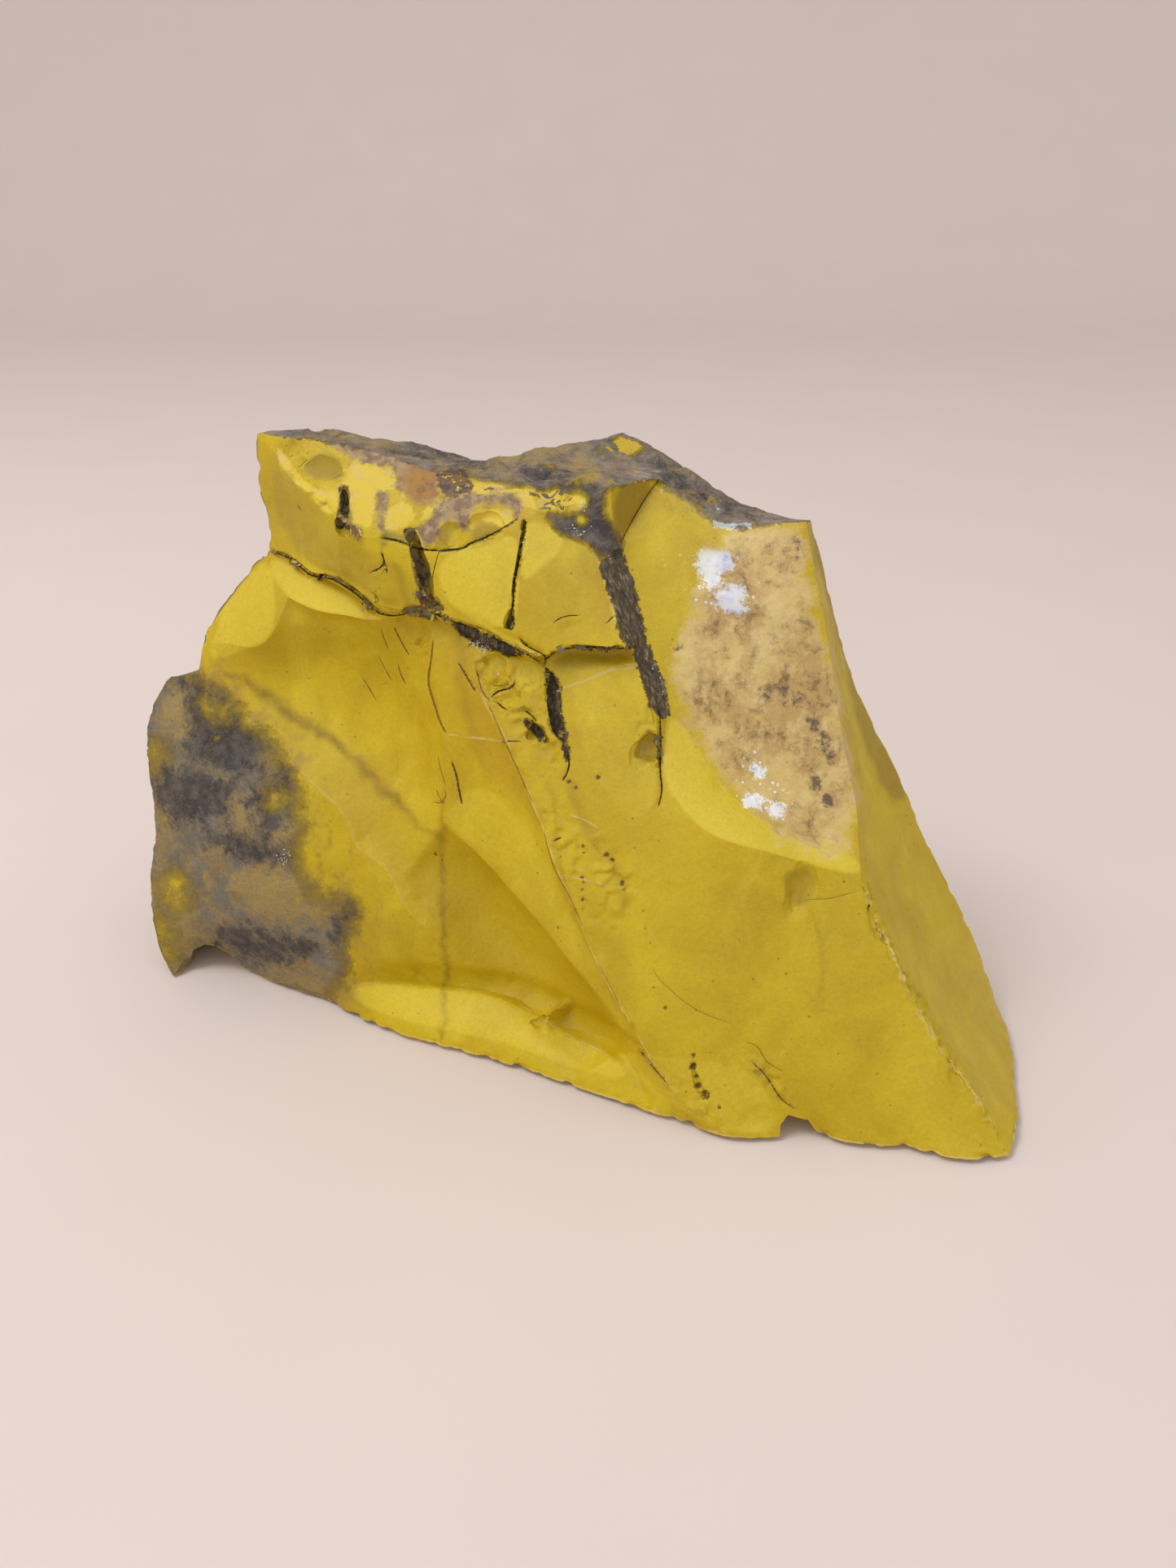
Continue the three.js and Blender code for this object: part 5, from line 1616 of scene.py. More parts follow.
    def _colour_fields(self, skin: FineSkin) -> dict[str, np.ndarray]:
        """Gives the fields that the finish reads: distances in mm, or covers of 0 to 1.

        Args:
            skin: the skin with its relief worked in.

        Returns:
            Each field by name, one value a point.
        """
        look = self._look(skin)
        points, pixels, scale = look.points, look.pixels, look.scale
        marks = self.marks
        warp = self._warp(points, 3.5)
        warped = pixels + 5 * warp

        def front(value: np.ndarray, elsewhere: float | np.ndarray = -FAR) -> np.ndarray:
            """Keeps a value where the point faces the sight."""
            return np.clip(np.where(look.seen, value, elsewhere), -FAR, FAR)

        def reach(kind: Mark, places: np.ndarray = warped,
                  elsewhere: float | np.ndarray = -FAR) -> np.ndarray:
            """Gives how far inside the front's marks of one kind each point is, in mm."""
            return front(marks.reach(kind, places, scale), elsewhere)

        def wash(kind: Mark, feather: float, places: np.ndarray = warped,
                 elsewhere: float | np.ndarray = 0.0) -> np.ndarray:
            """Gives the soft cover of each point by the front's marks of one kind."""
            return front(marks.wash(kind, places, scale, feather), elsewhere)

        rear_patina = self.noise.at(points + 5, 22, 2) * 14 - 5.5
        rear_vein = np.clip(0.55 - np.abs(self.noise.at(points + 50, 34, 3)) * 8, 0, 0.5)
        rear_tone = self.noise.at(points + 25, 24, 3) * 2.2
        rear_olive = np.clip(self.noise.at(points + 65, 15, 3) * 2.2 - 0.25, 0, 0.6)
        # painted light and shade: lighter where facets face the light, deeper where they turn from it; the
        # rear gets a random tone
        tone_and_painted_light = marks.wash(Mark.PAINTED_LIGHT, pixels, scale, 0.45) - marks.wash(Mark.PAINTED_SHADE, pixels, scale, 3.2)
        fields = {
            "crust": self._crust(look),
            "fray": 0.35 + 0.65 * soft_step(86, 74, points[:, 2]),
            "blot": reach(Mark.BLOT),
            "tan": reach(Mark.TAN),
            "patina": reach(Mark.PATINA, elsewhere=rear_patina),
            "smoke": wash(Mark.SMOKE, 0.6),
            "vein": wash(Mark.VEIN, 1.0, pixels + 9 * warp, rear_vein),
            "grey": wash(Mark.GREY, 1.0),
            "chalk": reach(Mark.CHALK),
            "chalcedony": reach(Mark.CHALCEDONY),
            "orange": wash(Mark.ORANGE, 1.5),
            "rust": reach(Mark.RUST),
            "tone_and_painted_light": front(tone_and_painted_light, rear_tone),
            # olive: painted shade in the front's recesses and turned-away facets, the horn's own olive, and a
            # random olive tone at the rear
            "olive": wash(Mark.OLIVE_AND_SHADE, 0.6, elsewhere=rear_olive),
            "gloss": reach(Mark.GLOSS),
            "fibre": reach(Mark.FIBRE, pixels),
            "hole": reach(Mark.HOLE, pixels),
            "spot": front(marks.spotted(warped, scale)),
            "sparkle": wash(Mark.SPARKLE, 0.2, pixels),
            # these two place the pale edges along the ridges, partly chipped jasper and partly a painted
            # highlight
            "ridge": skin.from_creases(2.5),
            "worn": wash(Mark.RUGGED, 1.0, pixels, 0.25),
        }
        for name, value in marks.lines(pixels, scale).items():
            fields[name] = front(value, 0.0)
        return fields


# ---- Finishes ----

Socket = bpy.types.NodeSocket
Value = Socket | float
Tint = Socket | Colour


@dataclass
class Wiring:
    """Places nodes in one tree and joins them."""

    tree: bpy.types.NodeTree

    def add(self, kind: str, inputs: dict[str | int, object],
            **settings: str | bool) -> bpy.types.bpy_prop_collection:
        """Adds a node.

        Args:
            kind: the node's type.
            inputs: what each input is joined or set to: a socket, a number, a colour or a name.
            settings: the node's own settings.

        Returns:
            The node's outputs.
        """
        node = self.tree.nodes.new(kind)
        for name, value in settings.items():
            setattr(node, name, value)
        for name, value in inputs.items():
            self.give(node.inputs[name], value)
        return node.outputs

    def give(self, socket: Socket, value: object) -> None:
        """Joins an input to another socket, or sets it.

        Args:
            socket: the input.
            value: another socket, a number, a colour or a name.
        """
        if isinstance(value, Socket):
            self.tree.links.new(value, socket)
        elif isinstance(value, tuple) and socket.type == "RGBA":
            socket.default_value = (*value, 1.0)
        else:
            socket.default_value = value


class MaterialWiring(Wiring):
    """The wiring of one material: masks, noises and colours that end in one shader."""

    def __init__(self, name: str) -> None:
        """Starts an empty material with its shader and output.

        Args:
            name: the material's name.
        """
        self.material = bpy.data.materials.new(name)
        self.material.use_nodes = True
        super().__init__(self.material.node_tree)
        self.tree.nodes.clear()
        self.shader = self.tree.nodes.new("ShaderNodeBsdfPrincipled")
        self.add("ShaderNodeOutputMaterial", {"Surface": self.shader.outputs["BSDF"]})
        self.place = self.add("ShaderNodeTexCoord", {})["Object"]

    def shade(self, looks: dict[str, Value | Tint]) -> None:
        """Joins or sets the shader's inputs by their names."""
        for name, value in looks.items():
            self.give(self.shader.inputs[name], value)

    def field(self, name: str) -> Socket:
        """Reads one of the stone's fields."""
        return self.add("ShaderNodeAttribute", {}, attribute_name=name)["Fac"]

    def stretched(self, stretch: Colour, turn: Colour = (0, 0, 0)) -> Socket:
        """Gives the place on the stone turned and stretched along the axes."""
        inputs = {"Vector": self.place, "Scale": stretch, "Rotation": turn}
        return self.add("ShaderNodeMapping", inputs)["Vector"]

    def noise(self, size: float, detail: float = 4, rough: float = 0.55, place: Socket | None = None,
              warp: float = 0.0) -> Socket:
        """Adds cloudy noise.

        Args:
            size: mm from one cloud to the next.
            detail: how many finer layers it has.
            rough: the strength of the finer layers.
            place: where it is read; the plain place if none is given.
            warp: how much it is pulled out of shape.

        Returns:
            The noise, about 0 to 1 and 0.5 on average.
        """
        inputs = {"Vector": place or self.place, "Scale": 1 / (size * MM), "Detail": detail,
                  "Roughness": rough, "Distortion": warp}
        return self.add("ShaderNodeTexNoise", inputs)["Fac"]

    def cells(self, size: float, place: Socket | None = None) -> Socket:
        """Adds cells of the given size in mm and gives the distance inside them."""
        inputs = {"Vector": place or self.place, "Scale": 1 / (size * MM)}
        return self.add("ShaderNodeTexVoronoi", inputs)["Distance"]

    def sum(self, kind: str, first: Value, second: Value = 0.0, third: Value = 0.0) -> Socket:
        """Adds one step of arithmetic of the given kind."""
        return self.add("ShaderNodeMath", {0: first, 1: second, 2: third}, operation=kind)[0]

    def times(self, first: Value, second: Value) -> Socket:
        """Multiplies two values."""
        return self.sum("MULTIPLY", first, second)

    def mask(self, value: Value, low: float, high: float) -> Socket:
        """Turns a value into a cover of 0 to 1 that rises smoothly from low to high.

        Args:
            value: what is read.
            low: where the cover is 0; it may be the larger one.
            high: where the cover is 1.

        Returns:
            The cover.
        """
        inputs = {"Value": value, "From Min": low, "From Max": high}
        if low > high:
            inputs |= {"From Min": high, "From Max": low, "To Min": 1.0, "To Max": 0.0}
        return self.add("ShaderNodeMapRange", inputs, interpolation_type="SMOOTHSTEP")["Result"]

    def wobbled(self, value: Value, noise: Socket, reach: float) -> Socket:
        """Moves a value up and down by up to about half the reach, following a noise."""
        return self.sum("MULTIPLY_ADD", self.sum("SUBTRACT", noise, 0.5), reach * 2, value)

    def torn(self, name: str, noise: Socket, reach: float, low: float, high: float) -> Socket:
        """Gives the cover of one of the stone's fields, with its edge torn by a noise."""
        return self.mask(self.wobbled(self.field(name), noise, reach), low, high)

    def blend(self, share: Value, under: Tint, over: Tint, kind: str = "MIX") -> Socket:
        """Lays one colour over another by a share of 0 to 1."""
        return self.add("ShaderNodeMix", {0: share, 6: under, 7: over}, data_type="RGBA", blend_type=kind,
                        clamp_factor=True)[2]

    def between(self, share: Value, low: Value, high: Value) -> Socket:
        """Gives the number that lies a share of the way from low to high."""
        return self.add("ShaderNodeMix", {0: share, 2: low, 3: high}, clamp_factor=True)[0]

    def shaded(self, colour: Tint, value: Socket) -> Socket:
        """Multiplies a colour by a number."""
        grey = self.add("ShaderNodeCombineColor", {0: value, 1: value, 2: value})[0]
        return self.blend(1.0, colour, grey, "MULTIPLY")

    def bump(self, height: Socket, depth: float, under: Socket | None = None) -> Socket:
        """Turns a height of 0 to 1, standing for a depth in mm, into a normal.

        Args:
            height: the height of 0 to 1.
            depth: what a height of 1 stands for, in mm.
            under: the normal of the relief below, if there is one.

        Returns:
            The normal.
        """
        inputs = {"Strength": 1.0, "Distance": depth * MM, "Height": height}
        if under is not None:
            inputs["Normal"] = under
        return self.add("ShaderNodeBump", inputs)["Normal"]


@dataclass(frozen=True)
class JasperFinish:
    """The stone's one finish: fresh yellow jasper, patina, chalk, chalcedony, crust and cracks."""

    light: Colour = linear(228, 203, 56)
    middle: Colour = linear(207, 178, 14)
    deep: Colour = linear(190, 158, 4)
    olive: Colour = linear(146, 118, 26)
    pale: Colour = linear(220, 196, 116)
    # the pale yellow of a painted sheen around the patina
    painted_sheen: Colour = linear(232, 206, 142)
    orange: Colour = linear(170, 120, 30)
    smoke: Colour = linear(120, 90, 16)
    stain: Colour = linear(84, 66, 54)
    grey: Colour = linear(100, 88, 62)
    chalk: Colour = linear(222, 192, 56)
    chalk_cream: Colour = linear(218, 190, 96)
    chalcedony: Colour = linear(138, 108, 78)
    chalcedony_tan: Colour = linear(176, 148, 104)
    rust: Colour = linear(120, 88, 44)
    patina: Colour = linear(190, 154, 90)
    patina_deep: Colour = linear(122, 88, 46)
    crust: Colour = linear(97, 88, 80)
    crust_deep: Colour = linear(62, 56, 56)
    crust_blue: Colour = linear(126, 122, 110)
    crust_brown: Colour = linear(134, 106, 64)
    crust_tan: Colour = linear(168, 142, 82)
    crust_pale: Colour = linear(190, 170, 150)
    crack: Colour = linear(54, 41, 22)
    hollow: Colour = linear(154, 134, 84)
    scratch: Colour = linear(84, 54, 22)
    fibre: Colour = linear(84, 70, 50)
    fibre_pale: Colour = linear(166, 148, 116)
    hair: Colour = linear(214, 196, 130)
    shine: float = 0.26
    wet_roughness: float = 0.09

    def build(self) -> bpy.types.Material:
        """Makes the finish's material.

        Returns:
            The material, which reads the stone's fields.
        """
        w = MaterialWiring("jasper_finish")
        fine = w.noise(0.55, 3, 0.6)
        medium = w.noise(2.4, 5, 0.6)
        strands = w.noise(0.75, 6, 0.75, w.stretched((1, 1, 0.12), (0, 0.28, 0)))
        colour = self._fresh(w, fine)
        colour = self._stained(w, colour, medium)
        colour, patina = self._patinated(w, colour, medium)
        colour, crust = self._crusted(w, colour, fine, medium)
        colour, crack = self._cracked(w, colour, medium, strands, crust)
        w.shade({"Base Color": colour})
        self._surface(w, fine, medium, strands, (patina, crust, crack))
        return w.material

    def _fresh(self, w: MaterialWiring, fine: Socket) -> Socket:
        """Builds the fresh yellow: three yellows in clouds, fine grain, small dark specks, and painted light
        and shade on the front's facets.

        Args:
            w: the finish's wiring.
            fine: the fine noise.

        Returns:
            The colour.
        """
        colour = w.blend(w.mask(w.noise(17, 5, 0.6, warp=0.4), 0.36, 0.66), self.middle, self.deep)
        streaks = w.noise(9, 6, 0.62, w.stretched((1, 1, 0.35), (0, 0.5, 0)), 0.8)
        colour = w.blend(w.times(w.mask(streaks, 0.5, 0.74), 0.35), colour, self.light)
        cloudy = w.mask(w.noise(4.5, 6, 0.7), 0.35, 0.68)
        colour = w.blend(w.times(cloudy, 0.3), colour, self.deep)
        # painted light and shade from the field, laid over the stone's own colour
        tone_and_painted_light = w.wobbled(w.field("tone_and_painted_light"), w.noise(1.5, 6, 0.75), 0.35)
        colour = w.blend(w.times(w.mask(tone_and_painted_light, 0, 1), 0.62), colour, self.light)
        colour = w.blend(w.times(w.mask(tone_and_painted_light, 0, -1), 0.75), colour, self.deep)
        # olive, partly the stone's own tone and partly painted shade
        colour = w.blend(w.times(w.field("olive"), 0.8), colour, self.olive)
        grain = w.between(fine, 0.8, 1.16)
        colour = w.blend(0.85, colour, w.shaded(colour, grain))
        specks = w.mask(w.cells(3.2), 0.085, 0.045)
        colour = w.blend(w.times(specks, 0.55), colour, self.smoke)
        motes = w.mask(w.cells(1.9, place=w.stretched((1.1, 0.9, 1.05), (0.4, 0.2, 0.9))), 0.06, 0.03)
        return w.blend(w.times(motes, 0.4), colour, self.pale)

    def _stained(self, w: MaterialWiring, colour: Socket, medium: Socket) -> Socket:
        """Lays orange tints, smoky veins, grey films, chalk, chalcedony and rust on the yellow.

        Args:
            w: the finish's wiring.
            colour: the colour so far.
            medium: the noise of a few millimetres.

        Returns:
            The colour with the stains on it.
        """
        broken = w.mask(medium, 0.25, 0.7)
        colour = w.blend(w.times(w.field("orange"), 0.75), colour, self.orange)
        vein = w.times(w.field("vein"), w.between(broken, 0.55, 1.15))
        colour = w.blend(vein, colour, self.smoke)
        film = w.times(w.field("grey"), w.between(broken, 0.35, 1.0))
        colour = w.blend(film, colour, self.grey)
        chalky = w.blend(w.mask(medium, 0.5, 0.62), self.chalk, self.chalk_cream)
        colour = w.blend(w.torn("chalk", w.noise(2.2, 7, 0.8), 1.9, -0.15, 0.3), colour, chalky)
        glassy = w.blend(w.mask(w.noise(1.6, 4, 0.6), 0.42, 0.62), self.chalcedony, self.chalcedony_tan)
        amber = w.blend(w.mask(w.noise(2.4, 6, 0.72), 0.48, 0.66), self.orange, self.rust)
        glassy = w.blend(w.times(w.field("orange"), 0.9), glassy, amber)
        colour = w.blend(w.torn("chalcedony", w.noise(2.6, 7, 0.8), 2.6, -0.5, 0.6), colour, glassy)
        gritty = w.blend(w.mask(w.noise(1.4, 6, 0.75), 0.46, 0.6), self.rust, self.crust_deep)
        gritty = w.blend(w.mask(w.noise(0.9, 3), 0.56, 0.64), gritty, self.chalk)
        return w.blend(w.torn("rust", w.noise(2.0, 7, 0.8), 1.8, -0.2, 0.3), colour, gritty)

    def _patinated(self, w: MaterialWiring, colour: Socket, medium: Socket) -> tuple[Socket, Socket]:
        """Lays a painted sheen of pale yellow around the patina, then the brown patina and its dark stains
        over the yellow.

        Args:
            w: the finish's wiring.
            colour: the colour so far.
            medium: the noise of a few millimetres.

        Returns:
            The colour with the patina on it, and the patina's cover.
        """
        edge = w.wobbled(w.field("patina"), w.noise(4.5, 8, 0.75), 6.0)
        cover = w.mask(edge, -1.6, 1.6)
        # painted sheen: a pale haze around the patina that stands in for the light the face reflects
        painted_sheen = w.times(w.mask(edge, -2.2, 1.0), w.between(w.mask(medium, 0.3, 0.7), 0.55, 0.9))
        colour = w.blend(painted_sheen, colour, self.painted_sheen)
        cloudy = w.mask(w.noise(7.5, 9, 0.76), 0.4, 0.58)
        brown = w.blend(w.mask(w.noise(3.4, 8, 0.78, warp=0.4), 0.46, 0.64), self.patina, self.patina_deep)
        cover = w.times(cover, w.between(cloudy, 0.2, 0.95))
        colour = w.blend(cover, colour, brown)
        smoke = w.torn("smoke", w.noise(1.4, 6, 0.8), 1.3, 0.25, 0.75)
        return w.blend(w.times(smoke, 0.85), colour, self.stain), cover

    def _crusted(self, w: MaterialWiring, colour: Socket, fine: Socket,
                 medium: Socket) -> tuple[Socket, Socket]:
        """Lays the weathered crust over the stone, with brown swirls where it meets the yellow.

        Args:
            w: the finish's wiring.
            colour: the colour so far.
            fine: the fine noise.
            medium: the noise of a few millimetres.

        Returns:
            The colour with the crust on it, and the crust's cover.
        """
        torn = w.sum("ADD", w.noise(1.8, 7, 0.8), w.noise(7, 4, 0.6, warp=0.5))
        frayed = w.times(w.sum("SUBTRACT", torn, 1.0), w.times(w.field("fray"), 6.0))
        edge = w.sum("ADD", frayed, w.field("crust"))
        lobe = w.mask(w.field("fray"), 0.5, 1.0)
        cover = w.mask(w.sum("DIVIDE", edge, w.sum("MULTIPLY_ADD", lobe, 2.2, 1.0)), -0.6, 0.9)
        wide = w.noise(8, 7, 0.75, warp=0.3)
        rind = w.blend(w.mask(wide, 0.42, 0.6), self.crust, self.crust_brown)
        tanned = w.mask(w.noise(3.2, 8, 0.8), 0.5, 0.66)
        rind = w.blend(w.times(tanned, 0.7), rind, self.crust_tan)
        hazy = w.mask(w.noise(5.2, 7, 0.75, warp=0.3), 0.46, 0.62)
        rind = w.blend(w.times(hazy, 0.75), rind, self.crust_blue)
        ground = w.blend(w.mask(w.noise(5.5, 7, 0.75, warp=0.3), 0.42, 0.58), self.crust_tan, self.crust_blue)
        rind = w.blend(w.times(lobe, 0.5), rind, ground)
        dusty = w.mask(w.noise(2.9, 7, 0.78), 0.4, 0.62)
        dusty = w.times(w.sum("SUBTRACT", 1.0, lobe), w.times(dusty, 0.45))
        rind = w.blend(dusty, rind, self.crust_pale)
        tan = w.torn("tan", w.noise(3.4, 8, 0.8), 8.0, -2.0, 2.2)
        rind = w.blend(w.times(tan, 0.85), rind, self.crust_tan)
        dark = w.blend(w.mask(medium, 0.4, 0.64), self.crust_deep, self.crust)
        blot = w.torn("blot", w.noise(3.6, 8, 0.82), 9.0, -1.7, 1.7)
        rind = w.blend(w.times(blot, 0.92), rind, dark)
        yolk = w.times(w.mask(w.noise(6.5, 7, 0.75, warp=0.5), 0.56, 0.68), w.mask(edge, 9.0, 2.0))
        rind = w.blend(w.times(yolk, 0.75), rind, self.deep)
        flecks = w.mask(w.noise(0.7, 5, 0.75), 0.56, 0.68)
        rind = w.blend(w.times(flecks, 0.5), rind, self.crust_tan)
        grain = w.between(fine, 0.72, 1.22)
        rind = w.shaded(rind, grain)
        cloud = w.mask(w.noise(4.5, 7, 0.75, warp=0.5), 0.44, 0.62)
        halo = w.times(w.mask(w.field("crust"), -7.5, -0.5), w.field("fray"))
        halo = w.times(halo, cloud)
        colour = w.blend(w.times(halo, 0.5), colour, self.crust_brown)
        return w.blend(cover, colour, rind), cover

    def _cracked(self, w: MaterialWiring, colour: Socket, medium: Socket, strands: Socket,
                 crust: Socket) -> tuple[Socket, Socket]:
        """Draws pale ridges, partly chipped jasper and partly a painted highlight, then hairlines, scratches,
        fibrous seam walls and open cracks.

        Args:
            w: the finish's wiring.
            colour: the colour so far.
            medium: the noise of a few millimetres.
            strands: the fibrous noise of the seam walls.
            crust: the crust's cover.

        Returns:
            The colour with the cracks in it, and the cover of seams and cracks.
        """
        # pale edges along the ridges: partly chipped jasper, partly a painted highlight
        crumbs = w.wobbled(w.field("ridge"), w.noise(0.8, 3), 0.5)
        edge_wear_and_highlight = w.times(w.mask(crumbs, 0.5, 0.05), w.field("worn"))
        edge_wear_and_highlight = w.times(edge_wear_and_highlight, w.sum("SUBTRACT", 1.0, crust))
        colour = w.blend(w.times(edge_wear_and_highlight, 0.8), colour, self.pale)
        across = w.sum("ABSOLUTE", w.field("across"))
        ragged = w.wobbled(across, w.noise(0.5, 3, 0.7), 0.9)
        thin = w.mask(ragged, 1.0, 0.35)
        hair = w.times(w.times(thin, w.field("hair")), w.mask(medium, 0.36, 0.6))
        colour = w.blend(w.times(hair, 0.6), colour, self.hair)
        colour = w.blend(w.times(thin, w.field("scratch")), colour, self.scratch)
        spot = w.torn("spot", w.noise(0.6, 3, 0.7), 0.3, -0.1, 0.1)
        colour = w.blend(w.times(spot, 0.8), colour, self.scratch)
        wall = w.blend(w.mask(strands, 0.46, 0.7), self.fibre, self.fibre_pale)
        wall = w.blend(w.mask(w.noise(3.2, 5, 0.7), 0.52, 0.68), wall, self.crust)
        wall = w.blend(w.mask(strands, 0.44, 0.34), wall, self.crack)
        seam = w.torn("fibre", w.noise(1.6, 6, 0.8), 1.7, -0.1, 0.12)
        colour = w.blend(seam, colour, wall)
        gap = w.torn("hole", w.noise(0.7, 4, 0.7), 0.3, -0.08, 0.08)
        open_crack = w.sum("MAXIMUM", gap, w.times(thin, w.field("crack")))
        dark = w.blend(w.mask(w.noise(1.2, 4, 0.7), 0.34, 0.56), self.crack, self.hollow)
        colour = w.blend(gap, colour, dark)
        colour = w.blend(w.times(thin, w.field("crack")), colour, self.crack)
        return colour, w.sum("MAXIMUM", seam, open_crack)

    def _surface(self, w: MaterialWiring, fine: Socket, medium: Socket, strands: Socket,
                 covers: tuple[Socket, Socket, Socket]) -> None:
        """Sets how rough each part is and its finest relief.

        Args:
            w: the wiring of the finish.
            fine: the fine noise.
            medium: the noise of a few millimetres.
            strands: the fibrous noise of the seam walls.
            covers: where patina, crust and cracks lie.
        """
        patina, crust, crack = covers
        rough = w.between(w.mask(medium, 0.3, 0.7), 0.36, 0.5)
        rough = w.between(patina, rough, 0.34)
        wet = w.torn("gloss", w.noise(1.2, 6, 0.8), 3.6, -0.8, 0.0)
        dots = w.mask(w.cells(1.15), 0.26, 0.16)
        dots = w.times(dots, w.torn("gloss", w.noise(4, 3), 8.0, -4.5, -1.0))
        wet = w.sum("MAXIMUM", wet, dots)
        rough = w.between(wet, rough, 0.2)
        rough = w.between(crust, rough, w.between(w.mask(w.noise(3.5, 4), 0.4, 0.62), 0.7, 0.36))
        rough = w.between(crack, rough, 0.85)
        w.shade({"Roughness": rough, "Specular IOR Level": self.shine, "Coat Weight": wet,
                 "Coat Roughness": self.wet_roughness})
        still = w.sum("SUBTRACT", 1.0, w.times(wet, 0.92))
        grain = w.sum("MULTIPLY_ADD", w.sum("SUBTRACT", medium, 0.5), 1.5, w.sum("SUBTRACT", fine, 0.5))
        smooth = w.times(grain, still)
        relief = w.bump(smooth, 0.04)
        chipped = w.times(w.sum("SUBTRACT", w.noise(3.6, 9, 0.76), 0.5), still)
        relief = w.bump(chipped, 0.26, relief)
        gritty = w.times(w.sum("ADD", w.noise(0.8, 5, 0.7), w.noise(2.6, 5, 0.7)), crust)
        relief = w.bump(gritty, 0.42, relief)
        relief = w.bump(w.times(strands, crack), 0.3, relief)
        w.shade({"Normal": relief})


@dataclass(frozen=True)
class FloorFinish:
    """The pale matt studio paper that the stone stands on."""

    paper: Colour = linear(228, 213, 205)
    mottle: float = 0.95
    roughness: float = 0.85

    def build(self) -> bpy.types.Material:
        """Makes the paper's material with its faint mottle.

        Returns:
            The material.
        """
        w = MaterialWiring("studio_paper")
        shade = tuple(channel * self.mottle for channel in self.paper)
        clouds = w.noise(60, 3, 0.5)
        w.shade({"Base Color": w.blend(clouds, self.paper, shade), "Roughness": self.roughness})
        return w.material


@dataclass(frozen=True)
class QuartzFinish:
    """The milky quartz of the tiny crystals."""

    milk: Colour = linear(226, 230, 234)
    roughness: float = 0.16

    def build(self) -> bpy.types.Material:
        """Makes the crystals' material.

        Returns:
            The material.
        """
        w = MaterialWiring("milky_quartz")
        w.shade({"Base Color": self.milk, "Roughness": self.roughness})
        return w.material


# ---- Quartz ----


